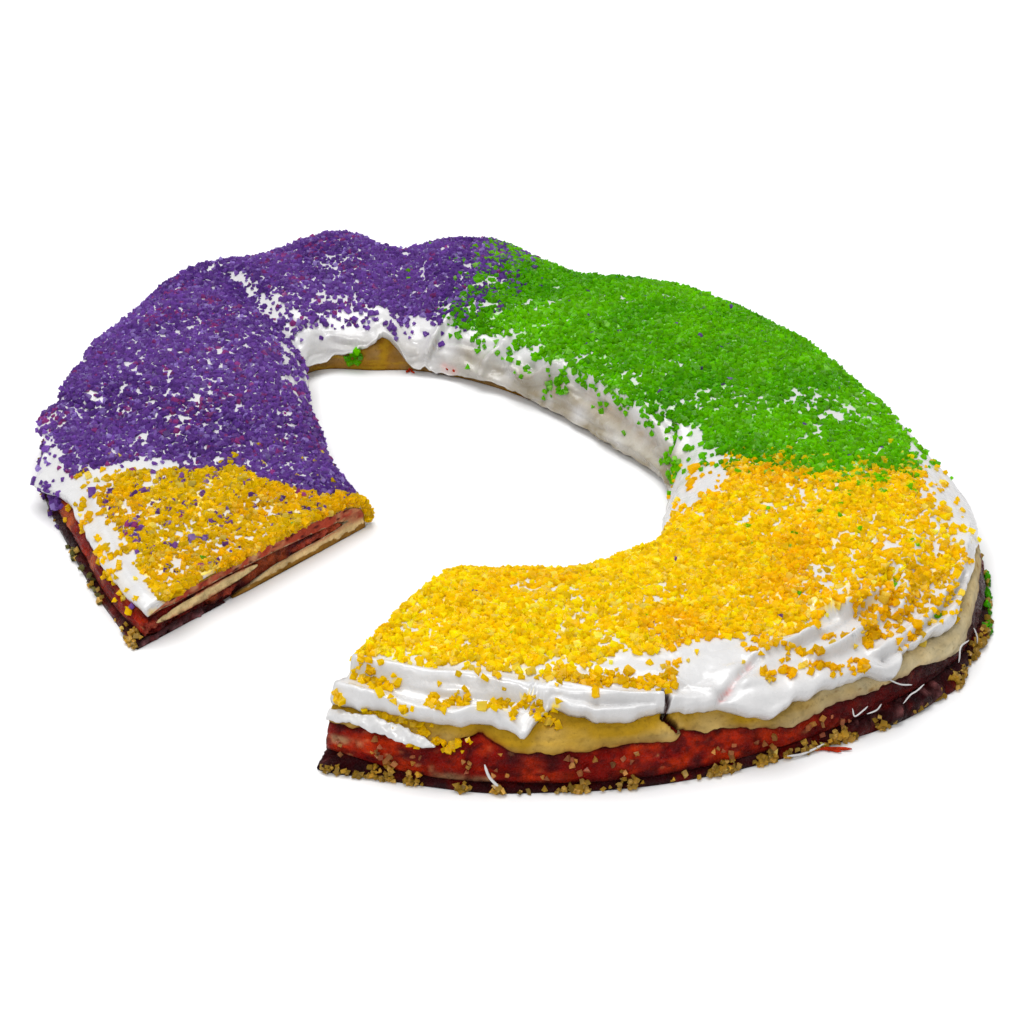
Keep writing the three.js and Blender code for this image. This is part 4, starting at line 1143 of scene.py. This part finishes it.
def icing_paint(places, points, colours):
    """White, tinted under dense sugar partly as a painted glow, with painted shade and the dough's tan on its
    inner wall, and stained, some stains being painted shade.
    """
    around, over = places[:, 0], places[:, 3]
    white = np.array(colours.icing)
    paint = plain_paint(white, len(places))
    cover, kind = sugar_cover(around, np.clip(over, 0, 180), points)
    # Under dense sugar the icing takes the sugar's colour: partly sugar melted into it, partly a painted glow
    # of light coming through the grains.
    for number, colour, share, amount in (
        (YELLOW, colours.yellow, 0.88, 0.95),
        (GREEN, colours.green, 0.88, 0.95),
        (PURPLE, colours.purple, 0.45, 0.5),
    ):
        tint = white * (1 - share) + np.array(colour) * share
        paint = blend_paint(paint, tint, (kind == number) * (over > 0) * ease(0.55, 0.95, cover) * amount)
    rim = (places[:, 4] > 0.5) * ease(-0.5, 0.4, rough(points, 3, 84, 2))
    paint = blend_paint(paint, np.array(colours.amber) * 0.75, rim * 0.75)
    # Painted shade on the inner wall, tan with the dough behind the thin icing.
    wall = ease(138, 158, over) * lobe_sum(around, SHADED_WALL)
    paint = blend_paint(paint, SHADE_AND_DOUGH_BEHIND, wall * (0.8 + 0.5 * rough(points, 6, 85, 2)))
    uneven = 0.7 + 0.6 * rough(points, 2, 81, 2)
    for route, half, colour, strength in STAINS_AND_SHADE:
        gap = distance_to_route(points, route) / half
        paint = blend_paint(paint, colour, np.exp(-gap ** 2) * strength * uneven)
    groove = crack_depth(around, np.maximum(over, 0), 0.7)
    return blend_paint(paint, ICING_CRACK, groove * 1.5)


def make_lower_icing(colours):
    """The loose strip of icing under the second roll, near the front cut."""
    route = np.array(((-144, 33.8), (-141, 35.4), (-138.5, 34.4), (-136, 32), (-133.2, 28.8)))
    halves = np.array((2.6, 2.6, 3.2, 3.4, 1.2))
    rows, sides = 90, 24
    at = np.linspace(0, len(route) - 1, rows)
    line = smooth_line(route, rows)
    around, over = line[:, :1], line[:, 1:]
    half = np.interp(at, np.arange(len(route)), halves)[:, None] * (1 + 0.34 * ragged(around, 1.8, 83))
    tapered = np.clip((rows - np.arange(rows)) / 10, 0, 1)
    half = half * np.sqrt(tapered)[:, None]
    turn = np.linspace(0, 2 * math.pi, sides, endpoint=False)[None, :]
    lift = GAP + 0.95 + 0.85 * np.sin(turn)
    base = on_skin(around + 0 * turn, over - half * np.cos(turn), lift)
    bumps = 0.5 * rough(base, 1.8, 82, 2) * (np.sin(turn) > 0)
    points = base + outward(around + 0 * turn, over + 0 * turn) * bumps[..., None]
    points, faces = tube_faces(points)
    paint = plain_paint(colours.icing, len(points))
    return new_piece("lower_icing_strip", points, faces, bpy.data.materials["white_icing"], paint)


def tube_faces(points):
    """Joins rings of points (rows, sides, 3) into a closed tube."""
    rows, sides = points.shape[:2]
    i, j = np.meshgrid(np.arange(rows - 1), np.arange(sides), indexing="ij")
    a, b = i * sides + j, i * sides + (j + 1) % sides
    faces = np.stack([a, a + sides, b + sides, b], axis=-1).reshape(-1, 4).tolist()
    faces.append(list(range(sides)))
    faces.append(list(range((rows - 1) * sides, rows * sides))[::-1])
    return points.reshape(-1, 3), faces


# A direction along which no thread runs, to turn its rings from.
ASKEW = (0.31, 0.52, 0.79)


def make_threads(name, threads, material, colour):
    """Thin tubes along smooth lines, one piece for all of them."""
    points, faces = [], []
    for radius, corners in threads:
        places = smooth_line(corners, 8 * len(corners))
        line = on_skin(places[:, 0], places[:, 1], places[:, 2])
        line[:, 2] = np.maximum(line[:, 2], radius)
        along = unit(np.gradient(line, axis=0))
        side = unit(np.cross(along, ASKEW))
        third = np.cross(along, side)
        share = np.linspace(0, 1, len(line))
        girth = radius * np.minimum(1, 0.4 + 4 * np.minimum(share, 1 - share))
        turn = np.linspace(0, 2 * math.pi, 8, endpoint=False)
        ring = np.cos(turn)[None, :, None] * side[:, None] + np.sin(turn)[None, :, None] * third[:, None]
        tube, tube_sides = tube_faces(line[:, None] + girth[:, None, None] * ring)
        start = sum(len(part) for part in points)
        faces += [[start + k for k in face] for face in tube_sides]
        points.append(tube)
    points = np.concatenate(points)
    points[:, 2] = np.maximum(points[:, 2], FLOOR_SPACE)
    return new_piece(name, points, faces, material, plain_paint(colour, len(points)))


# ---- Sugar ----
def value_in(table, place):
    """The value at a place, from a table of (place, value) rows."""
    return np.interp(place, *zip(*table))


def distance_to_place(points, around, over):
    return np.linalg.norm(points - on_skin(around, over, ICING), axis=-1)


def sugar_kind(around, over, points):
    """The kind of sugar at each place, by its number."""
    at = around + 2.2 * rough(points, 11, 91, 2)
    kind = np.where(at < value_in(PURPLE_YELLOW, over), PURPLE, YELLOW)
    kind = np.where(at < value_in(PURPLE_GREEN, over), GREEN, kind)
    return np.where(at < value_in(GREEN_YELLOW, over), YELLOW, kind)


def field_cover(from_outer, from_inner, kind, points):
    """How densely sugar lies in its fields, from how far each place is inside their two edges."""
    cover = ease(-3, 5, from_outer) * ease(-3, 5, from_inner)
    wobble = 2.4 * rough(points, 5, 94, 2)
    for around, over, radius, missing in BARE:
        gap = distance_to_place(points, around, over) + wobble
        cover = cover * (1 - missing * (1 - ease(0.3, 1.5, gap / radius)))
    wobble = rough(points, 4, 88)
    for route, half in BARE_LINES:
        gap = distance_to_route(points, route) + wobble
        cover = cover * (1 - 0.97 * np.exp(-(gap / half) ** 4))
    thin = ease(-0.75, 0.0, rough(points, 14, 95, 3))
    cover = cover * (0.6 + 0.4 * thin)
    clumped = ease(-0.5, 0.4, rough(points, 3.4, 89, 2)) - 0.5
    cover = cover + 0.7 * clumped * (1 - cover) * ease(0, 0.3, cover)
    fine = rough(points, 2.6, 90, 2)
    return cover * np.where(kind == PURPLE, 0.74 + 0.26 * fine, np.minimum(0.98 + 0.3 * fine, 1))


def stripe_cover(cover, points):
    """The cover with the stripes and clumps added that lie outside the fields."""
    patchy = ease(-0.3, 0.25, rough(points, 4.2, 96, 2))
    for route, half, amount in STRIPES:
        gap = distance_to_route(points, route)
        cover = np.maximum(cover, amount * patchy * np.exp(-(gap / half) ** 2))
    for around, over, radius in CLUMPS + (GREEN_CLUMP,):
        gap = distance_to_place(points, around, over)
        cover = np.maximum(cover, 1 - ease(0.7, 1.1, gap / radius))
    return cover


def sugar_cover(around, over, points):
    """How densely sugar lies at each place, from 0 to 1, and its kind."""
    kind = sugar_kind(around, over, points)
    first = value_in(SUGAR_FROM, around) + 4 * rough(points, 9, 92, 2)
    last = value_in(SUGAR_TO, around) + 4 * rough(points, 9, 93, 2)
    cover = stripe_cover(field_cover(over - first, last - over, kind, points), points)
    kind = np.where(distance_to_place(points, *GREEN_CLUMP[:2]) < GREEN_REACH, GREEN, kind)
    right = np.exp(-((around + 62) / 18) ** 2)
    loose = ease(-16 - 14 * right, 2, over - first) * ease(-26, 2, last - over)
    inner = 0.26 + 0.2 * ease(60, 80, around)
    strewn = ease(-0.5, 0.3, rough(points, 5.5, 97, 2))
    stray = np.where(over > 100, inner, 0.12 + 0.4 * right) * loose * strewn
    return np.clip(np.maximum(cover, stray), 0, 1), kind


def crystals(random, shape, size, centres, outwards, lean):
    """Uneven copies of a crystal, one for each centre, as points (count, corners, 3)."""
    corners = shape[0]
    count = len(centres)
    aspect = np.stack([
        random.uniform(0.85, 1.4, count), random.uniform(0.7, 1.05, count), random.uniform(0.65, 0.95, count),
    ], axis=-1)
    blocks = corners[None] * aspect[:, None]
    blocks = (blocks + random.uniform(-0.12, 0.12, blocks.shape)) * size[:, None, None]
    direction = unit(outwards + lean[:, None] * random.normal(0, 1, (count, 3)))
    side = unit(np.cross(direction, random.normal(0, 1, (count, 3))), TINY)
    basis = np.stack([side, np.cross(direction, side), direction], axis=1)
    return np.einsum("nkc,ncd->nkd", blocks, basis) + centres[:, None]


def make_grains(name, random, size, centres, outwards, lean, tints):
    """Joins crystals into one piece, each of its own colour. A second piece takes what is past the limit."""
    material = sugar_material(name)
    for number, start in enumerate(range(0, len(centres), GRAINS_A_PIECE)):
        rows = np.arange(start, min(start + GRAINS_A_PIECE, len(centres)))
        wedge = random.uniform(0, 1, len(rows)) < WEDGE_SHARE
        points, faces, paint, first = [], [], [], 0
        for shape, chosen in ((BLOCK, rows[~wedge]), (WEDGE, rows[wedge])):
            made = crystals(random, shape, size[chosen], centres[chosen], outwards[chosen], lean[chosen])
            made[..., 2] = np.maximum(made[..., 2], FLOOR_SPACE)
            corners = len(shape[0])
            for face in shape[1]:
                faces += (first + np.arange(len(chosen))[:, None] * corners + np.array(face)).tolist()
            points.append(made.reshape(-1, 3))
            paint.append(np.repeat(np.clip(tints[chosen], 0, 1), corners, axis=0))
            first += len(points[-1])
        label = name if number == 0 else f"{name}_{number + 1}"
        piece = new_piece(label, np.concatenate(points), faces, material, np.concatenate(paint), smooth=False)


def scatter(random, tries):
    """Random places over the ring, with equal chances for equal areas."""
    around = random.uniform(FRONT_CUT + 0.3, LEFT_CUT - 0.3, tries)
    over = random.uniform(18, 178, tries)
    step = 0.5
    here = on_skin(around, over, ICING)
    along = on_skin(around + step, over, ICING) - here
    across = on_skin(around, over + step, ICING) - here
    area = np.linalg.norm(np.cross(along, across), axis=-1) / step ** 2
    keep = random.uniform(0, 1, tries) < area / 4.2
    return around[keep], over[keep]


def host_offset(around, over):
    """Where a grain rests: on the icing, or on the dough or filling below its edge."""
    start, end = icing_edges(around)
    bare = (over < start) | (over > end)
    return np.where(bare, 0.1, icing_offset(around, np.clip(over, start, end)))


def strewn_places(random, tries):
    """The places where a grain lies: around, over, points, cover and kind."""
    around, over = scatter(random, tries)
    points = on_skin(around, over, ICING)
    cover, kind = sugar_cover(around, over, points)
    thinning = (GRAIN_LENGTHS[PURPLE] / GRAIN_LENGTHS[kind]) ** 2
    keep = random.uniform(0, 1, len(around)) < cover * thinning
    return [values[keep] for values in (around, over, points, cover, kind)]


def strayed_kind(random, kind, around, over, points):
    """The kinds once single grains have strayed into other fields, and the borders are stirred."""
    swap = random.uniform(0, 1, len(kind))
    meeting = np.abs(around - value_in(PURPLE_GREEN, over))
    mixing = swap < 0.45 * np.exp(-(meeting / 4.5) ** 2) + 0.005
    to_green = mixing & (kind == PURPLE) & (around < 70)
    kind = np.where(to_green, GREEN, np.where(mixing & (kind == GREEN), PURPLE, kind))
    patchy = 0.03 + 0.25 * ease(0.2, 0.7, rough(points, 5, 99))
    kind = np.where((around > 145) & (kind == YELLOW) & (swap < patchy), PURPLE, kind)
    rare = 0.9985 - 0.006 * np.exp(-((around + 58) / 14) ** 2)
    kind = np.where((kind == YELLOW) & (swap > rare), GREEN, kind)
    kind = np.where((kind == YELLOW) & (swap > 0.997) & (swap < 0.9985), PURPLE, kind)
    kind = np.where((kind == PURPLE) & (around > 160) & (swap > 0.98), YELLOW, kind)
    border = np.abs(around - value_in(GREEN_YELLOW, over))
    stirred = random.uniform(0, 1, len(kind)) < 0.3 * np.exp(-(border / 3.5) ** 2)
    return np.where(stirred & (around < 0), np.where(kind == YELLOW, GREEN, YELLOW), kind)


def make_sugar(sizes, colours):
    random = np.random.default_rng(2024)
    around, over, points, cover, kind = strewn_places(random, sizes.grain_tries)
    kind = strayed_kind(random, kind, around, over, points)
    count = len(kind)
    usual = sizes.grain / MM * GRAIN_LENGTHS[kind] / GRAIN_LENGTHS[YELLOW]
    size = np.clip(usual * np.exp(random.normal(0, 0.2, count)), *GRAIN_LIMITS)
    pile = random.uniform(0, 1, count) * ease(0.6, 1.0, cover) * 0.45
    alone = 1 - ease(0.2, 0.7, cover)
    lift = host_offset(around, over) + size * (0.06 + 0.16 * alone) + pile
    lean = np.where(cover > 0.5, 0.8, 0.3)
    centres = on_skin(around, over, lift)
    tints = grain_tints(random, kind, cover, around, centres, colours)
    # Painted shade: yellow grains low on the outer side at the front are darkened towards amber.
    low_grain_shade = (kind == YELLOW) & (over < 60) & (around < -60)
    tints = blend_paint(tints, np.array(colours.amber) * 0.7, low_grain_shade * 0.35)
    for number, (name, slot, _) in enumerate(GRAINS):
        rows = kind == number
        outwards = outward(around[rows], over[rows])
        make_grains(name, random, size[rows], centres[rows], outwards, lean[rows], tints[rows])


def make_rim_grains(sizes, colours):
    """Yellow grains that cover the top rim of the icing at the two cuts."""
    random = np.random.default_rng(55)
    around = np.concatenate([
        random.uniform(LEFT_CUT - 0.4, LEFT_CUT + 0.22, LEFT_RIM_TRIES),
        random.uniform(FRONT_CUT - 0.12, FRONT_CUT + 0.5, FRONT_RIM_TRIES),
    ])
    over = np.concatenate([
        random.uniform(48, 170, LEFT_RIM_TRIES), random.uniform(58, 168, FRONT_RIM_TRIES),
    ])
    patchy = rough(on_skin(around, over, 0.0), 7, 100, 2)
    keep = random.uniform(0, 1, len(around)) < ease(-0.7, 0.1, patchy)
    around, over = around[keep], over[keep]
    count = len(around)
    size = np.clip(sizes.grain / MM * np.exp(random.normal(0, 0.2, count)), *RIM_GRAIN_LIMITS)
    inside = np.clip(around, FRONT_CUT + 0.1, LEFT_CUT - 0.1)
    lift = host_offset(inside, over) * random.uniform(0.25, 1.15, count) + 0.2
    centres = on_skin(around, over, lift)
    tints = grain_tints(random, np.full(count, YELLOW), np.full(count, 0.4), around, centres, colours)
    lean = np.full(count, 0.9)
    make_grains("rim_sugar", random, size, centres, outward(around, over), lean, tints)


def grain_tints(random, kind, cover, around, centres, colours):
    """A colour for each grain, by its kind, its place and chance."""
    count = len(kind)
    tone = random.uniform(0, 1, count)
    broad = rough(centres, 20, 98, 2)
    warm = ease(-0.3, 0.6, broad) * 0.5 + 0.4 * (1 - ease(0.3, 0.8, cover))
    warm = warm + lobe_sum(around, WARMER_YELLOW) + 0.25 * (tone - 0.5)
    yellow = blend_paint(plain_paint(colours.yellow, count), colours.amber, warm)
    # Lemon grains: partly their own tone, partly painted glints.
    yellow = blend_paint(yellow, colours.lemon, ease(0.85, 0.97, tone) * 0.7)
    deep = 0.3 + 0.5 * broad + 0.5 * (tone - 0.5)
    green = blend_paint(plain_paint(colours.green, count), colours.deep_green, deep)
    # Bright green grains: partly their own tone, partly painted glints.
    green = blend_paint(green, BRIGHT_GREEN, ease(0.9, 0.98, tone) * 0.5)
    deep = ease(-0.5, 0.6, broad) * 0.5 + 0.7 * (0.3 - tone)
    purple = blend_paint(plain_paint(colours.purple, count), colours.deep_purple, deep)
    # Lilac grains: partly their own tone, partly painted glints along their edges.
    purple = blend_paint(purple, BRIGHT_PURPLE, ease(0.8, 0.98, tone) * 0.6)
    reddish = ease(0.1, 0.7, rough(centres, 9, 102, 2)) * 0.22 + 0.02
    purple = blend_paint(purple, colours.magenta, (random.uniform(0, 1, count) < reddish) * 0.75)
    tints = np.where((kind == YELLOW)[:, None], yellow, np.where((kind == GREEN)[:, None], green, purple))
    dim = 1 - 0.16 * (around > 160) * (kind == YELLOW)
    return tints * (dim * np.exp(np.minimum(random.normal(0.03, 0.12, count), 0.2)))[:, None]


def make_foot_grains(sizes, colours):
    """Grains that have fallen into the jam along the outer foot, and some on the filling's face."""
    random = np.random.default_rng(77)
    around = random.uniform(FRONT_CUT + 0.3, LEFT_CUT - 0.2, FOOT_TRIES)
    clump = ease(0.1, 0.5, ragged(around, 4.0, 101))
    dense = lobe_sum(around, MORE_AT_FOOT) * ease(-0.3, 0.3, ragged(around, 3, 103))
    amount = np.clip(0.5 * clump + dense, 0.03, 1.0)
    keep = random.uniform(0, 1, FOOT_TRIES) < amount
    around, amount = around[keep], amount[keep]
    count = len(around)
    size = 0.85 * sizes.grain / MM * random.uniform(0.7, 1.3, count)
    rise = random.uniform(0, 1, count) ** 2.2
    height = size * 0.4 + rise * 3.2 * (0.5 + 0.6 * amount)
    distance = -value_at(around, JAM_OUT) * (1 - ease(0.5, 1.0, rise)) - random.uniform(-0.3, 0.7, count)
    stuck = (random.uniform(0, 1, count) < 0.14) & (around < -84)
    on_face = on_skin(around, random.uniform(0.35, 0.9, count) * dough_edge(around), 0.1)
    centres = np.where(stuck[:, None], on_face, Ring(around).in_space(distance, height))
    tints = foot_tints(random, around, stuck, colours)
    lean = np.full(count, 0.8)
    outwards = outward(around, np.full(count, 25.0))
    make_grains("foot_sugar", random, size, centres, outwards, lean, tints)


def foot_tints(random, around, stuck, colours):
    """Gold, green at the right, purple at the back, olive by the left cut, and red on the filling."""
    count = len(around)
    tints = blend_paint(plain_paint(colours.foot_gold, count), PALE_GOLD, random.uniform(-0.5, 0.7, count))
    green = (around > -58) & (around < 45) & (random.uniform(0, 1, count) < 0.6)
    tints = blend_paint(tints, colours.deep_green, green * 1.0)
    olive = (around > 168) & (around < 183) & (random.uniform(0, 1, count) < 0.5)
    tints = blend_paint(tints, OLIVE, olive * 0.8)
    violet = (around > 50) & (around < 168) & (random.uniform(0, 1, count) < 0.75)
    tints = blend_paint(tints, np.array(colours.purple) * 0.7, violet * 1.0)
    tints = blend_paint(tints, RED_GRAIN, stuck * random.uniform(0.3, 1.0, count))
    return tints * np.exp(random.normal(0, 0.25, count))[:, None]


# ---- Stage: in metres ----
FLOOR_HALF = 4.0
FLOOR_DROP = 0.0002
FLOOR_COLOUR = (0.8, 0.8, 0.805, 1)
SKY_STRENGTH = 0.6
# Square lights that point at the cake: name, place, side, watts.
LIGHTS = (("key", (0.0, 0.28, 1.45), 1.1, 19.8), ("fill", (-0.85, -0.7, 0.95), 0.25, 5.4))
# The camera: how far it is turned round the cake and how steeply it looks down, in degrees; how far it
# stands from the place it looks at, and that place on the floor in axes turned with it, in millimetres;
# its focal length as a share of the picture's width; and the width of its sensor.
VIEW_TURN = 31.7
VIEW_RISE = 30
VIEW_DISTANCE = 726.0
VIEW_CENTRE = (-7.9, 20.6)
FOCAL_WIDTHS = 2200 / 1024
SENSOR = 36


def make_floor(scene):
    mesh = bpy.data.meshes.new("floor")
    corners = [(x * FLOOR_HALF, y * FLOOR_HALF, 0) for x, y in ((-1, -1), (1, -1), (1, 1), (-1, 1))]
    mesh.from_pydata(corners, [], [(0, 1, 2, 3)])
    floor = bpy.data.objects.new("floor", mesh)
    floor.location.z = -FLOOR_DROP
    scene.collection.objects.link(floor)
    material, _, shader = new_material("floor_white", 0.9, 0.1)
    shader.inputs["Base Color"].default_value = FLOOR_COLOUR
    mesh.materials.append(material)


def make_lights(scene):
    world = bpy.data.worlds.new("studio")
    scene.world = world
    world.use_nodes = True
    sky = world.node_tree.nodes["Background"]
    sky.inputs["Color"].default_value = (1, 1, 1, 1)
    sky.inputs["Strength"].default_value = SKY_STRENGTH
    for name, place, side, power in LIGHTS:
        data = bpy.data.lights.new(name, "AREA")
        data.shape = "SQUARE"
        data.size = side
        data.energy = power
        light = bpy.data.objects.new(name, data)
        light.location = place
        light.rotation_euler = (Vector() - Vector(place)).to_track_quat("-Z", "Y").to_euler()
        scene.collection.objects.link(light)


def unturned(x, y, z):
    """A place in millimetres, from axes that are turned with the camera to the frame, in metres."""
    turn = math.radians(VIEW_TURN)
    dx, dy = x - VIEW_CENTRE[0], y - VIEW_CENTRE[1]
    return Vector((
        (dx * math.cos(turn) + dy * math.sin(turn) - OVAL_CENTRE[0]) * MM,
        (-dx * math.sin(turn) + dy * math.cos(turn) - OVAL_CENTRE[1]) * MM,
        z * MM,
    ))


def make_camera(scene):
    rise = math.radians(VIEW_RISE)
    place = unturned(0, -VIEW_DISTANCE * math.cos(rise), VIEW_DISTANCE * math.sin(rise))
    data = bpy.data.cameras.new("camera")
    data.sensor_width = SENSOR
    data.lens = SENSOR * FOCAL_WIDTHS
    data.clip_start = 0.01
    camera = bpy.data.objects.new("camera", data)
    camera.location = place
    camera.rotation_euler = (unturned(0, 0, 0) - place).to_track_quat("-Z", "Y").to_euler()
    scene.collection.objects.link(camera)
    scene.camera = camera
    scene.view_settings.view_transform = "Standard"


# ---- The add-on ----
def colour_of(name, description, default):
    return FloatVectorProperty(
        name=name, description=description, default=default, subtype="COLOR", size=3, min=0, max=1)


class CakeSizes(bpy.types.PropertyGroup):
    grain: FloatProperty(
        name="Grain", description="Length of a common yellow grain", default=0.0015, unit="LENGTH")
    grain_tries: IntProperty(
        name="Grain tries", description="How many places are tried for a grain", default=305000)


class CakeColours(bpy.types.PropertyGroup):
    icing: colour_of("Icing", "The white icing", (0.575, 0.57, 0.57))
    dough: colour_of("Dough", "The pale side of the dough", (0.58, 0.49, 0.3))
    golden: colour_of("Golden dough", "The dough just below the icing", (0.37, 0.21, 0.008))
    browned: colour_of("Browned dough", "The dough where it browned", (0.28, 0.125, 0.006))
    crumb: colour_of("Crumb", "The cut crumb", (0.74, 0.54, 0.26))
    soaked: colour_of("Soaked dough", "Dough that the filling has coloured", (0.42, 0.06, 0.03))
    filling: colour_of("Filling", "The red filling", (0.21, 0.0035, 0.001))
    filling_bright: colour_of("Bright filling", "The filling where light comes through", (0.5, 0.028, 0.002))
    jam: colour_of("Jam", "The dark jam at the foot", (0.025, 0.0012, 0.0022))
    yellow: colour_of("Yellow sugar", "Yellow grains", (1.0, 0.76, 0.004))
    amber: colour_of("Amber sugar", "Darker yellow grains", (0.97, 0.6, 0.002))
    # Lemon grains are partly the sugar's own tone and partly painted glints.
    lemon: colour_of("Lemon sugar", "The brightest yellow grains", (1.0, 0.9, 0.2))
    green: colour_of("Green sugar", "Green grains", (0.215, 0.63, 0.001))
    deep_green: colour_of("Deep green sugar", "Darker green grains", (0.09, 0.43, 0.001))
    purple: colour_of("Purple sugar", "Purple grains", (0.235, 0.1, 0.44))
    deep_purple: colour_of("Deep purple sugar", "Darker purple grains", (0.085, 0.025, 0.24))
    magenta: colour_of("Magenta sugar", "The few red grains in the purple", (0.42, 0.06, 0.24))
    foot_gold: colour_of("Foot sugar", "Grains along the foot", (0.5, 0.31, 0.04))


class CAKE_OT_stage(bpy.types.Operator):
    """Make the floor, the lights and the camera"""
    bl_idname = "cake.stage"
    bl_label = "Stage"

    def execute(self, context):
        make_floor(context.scene)
        make_lights(context.scene)
        make_camera(context.scene)
        return {"FINISHED"}


class CAKE_OT_dough(bpy.types.Operator):
    """Make the baked dough and the layer of dough in its middle"""
    bl_idname = "cake.dough"
    bl_label = "Dough"

    def execute(self, context):
        colours = context.scene.cake_colours
        dough = make_dough(colours)
        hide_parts("dough")
        middle = make_middle_dough(colours)
        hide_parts("middle_dough")
        return {"FINISHED"}


class CAKE_OT_filling(bpy.types.Operator):
    """Make the red filling and the dark jam at the foot"""
    bl_idname = "cake.filling"
    bl_label = "Filling"

    def execute(self, context):
        colours = context.scene.cake_colours
        filling = make_filling(colours)
        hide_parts("filling")
        jam = make_jam(colours)
        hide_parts("jam_rim")
        red = bpy.data.materials["red_filling"]
        strands = make_threads("fruit_strands", STRANDS, red, colours.filling_bright)
        return {"FINISHED"}


class CAKE_OT_icing(bpy.types.Operator):
    """Make the icing with its folds"""
    bl_idname = "cake.icing"
    bl_label = "Icing"

    def execute(self, context):
        colours = context.scene.cake_colours
        icing = make_icing(colours)
        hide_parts("icing")
        strip = make_lower_icing(colours)
        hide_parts("lower_icing")
        white = bpy.data.materials["white_icing"]
        threads = make_threads("icing_threads", THREADS, white, colours.icing)
        return {"FINISHED"}


class CAKE_OT_sugar(bpy.types.Operator):
    """Strew the sugar"""
    bl_idname = "cake.sugar"
    bl_label = "Sugar"

    def execute(self, context):
        make_sugar(context.scene.cake_sizes, context.scene.cake_colours)
        make_rim_grains(context.scene.cake_sizes, context.scene.cake_colours)
        make_foot_grains(context.scene.cake_sizes, context.scene.cake_colours)
        return {"FINISHED"}


class CAKE_PT_panel(bpy.types.Panel):
    """Lists the steps that dress the cake"""
    bl_label = "King Cake"
    bl_idname = "CAKE_PT_panel"
    bl_space_type = "VIEW_3D"
    bl_region_type = "UI"
    bl_category = "Cake"

    def draw(self, context):
        layout = self.layout
        for group in (context.scene.cake_sizes, context.scene.cake_colours):
            for name in group.__annotations__:
                layout.prop(group, name)
        for step in STEPS:
            layout.operator(step.bl_idname)


STEPS = (CAKE_OT_stage, CAKE_OT_dough, CAKE_OT_filling, CAKE_OT_icing, CAKE_OT_sugar)
CLASSES = (CakeSizes, CakeColours) + STEPS + (CAKE_PT_panel,)


def register():
    for item in CLASSES:
        bpy.utils.register_class(item)
    bpy.types.Scene.cake_sizes = PointerProperty(type=CakeSizes)
    bpy.types.Scene.cake_colours = PointerProperty(type=CakeColours)


def unregister():
    del bpy.types.Scene.cake_colours
    del bpy.types.Scene.cake_sizes
    for item in reversed(CLASSES):
        bpy.utils.unregister_class(item)


def main():
    register()
    bpy.ops.cake.stage()
    bpy.ops.cake.dough()
    bpy.ops.cake.filling()
    bpy.ops.cake.icing()
    bpy.ops.cake.sugar()
    bpy.context.view_layer.update()


if __name__ == "__main__":
    main()
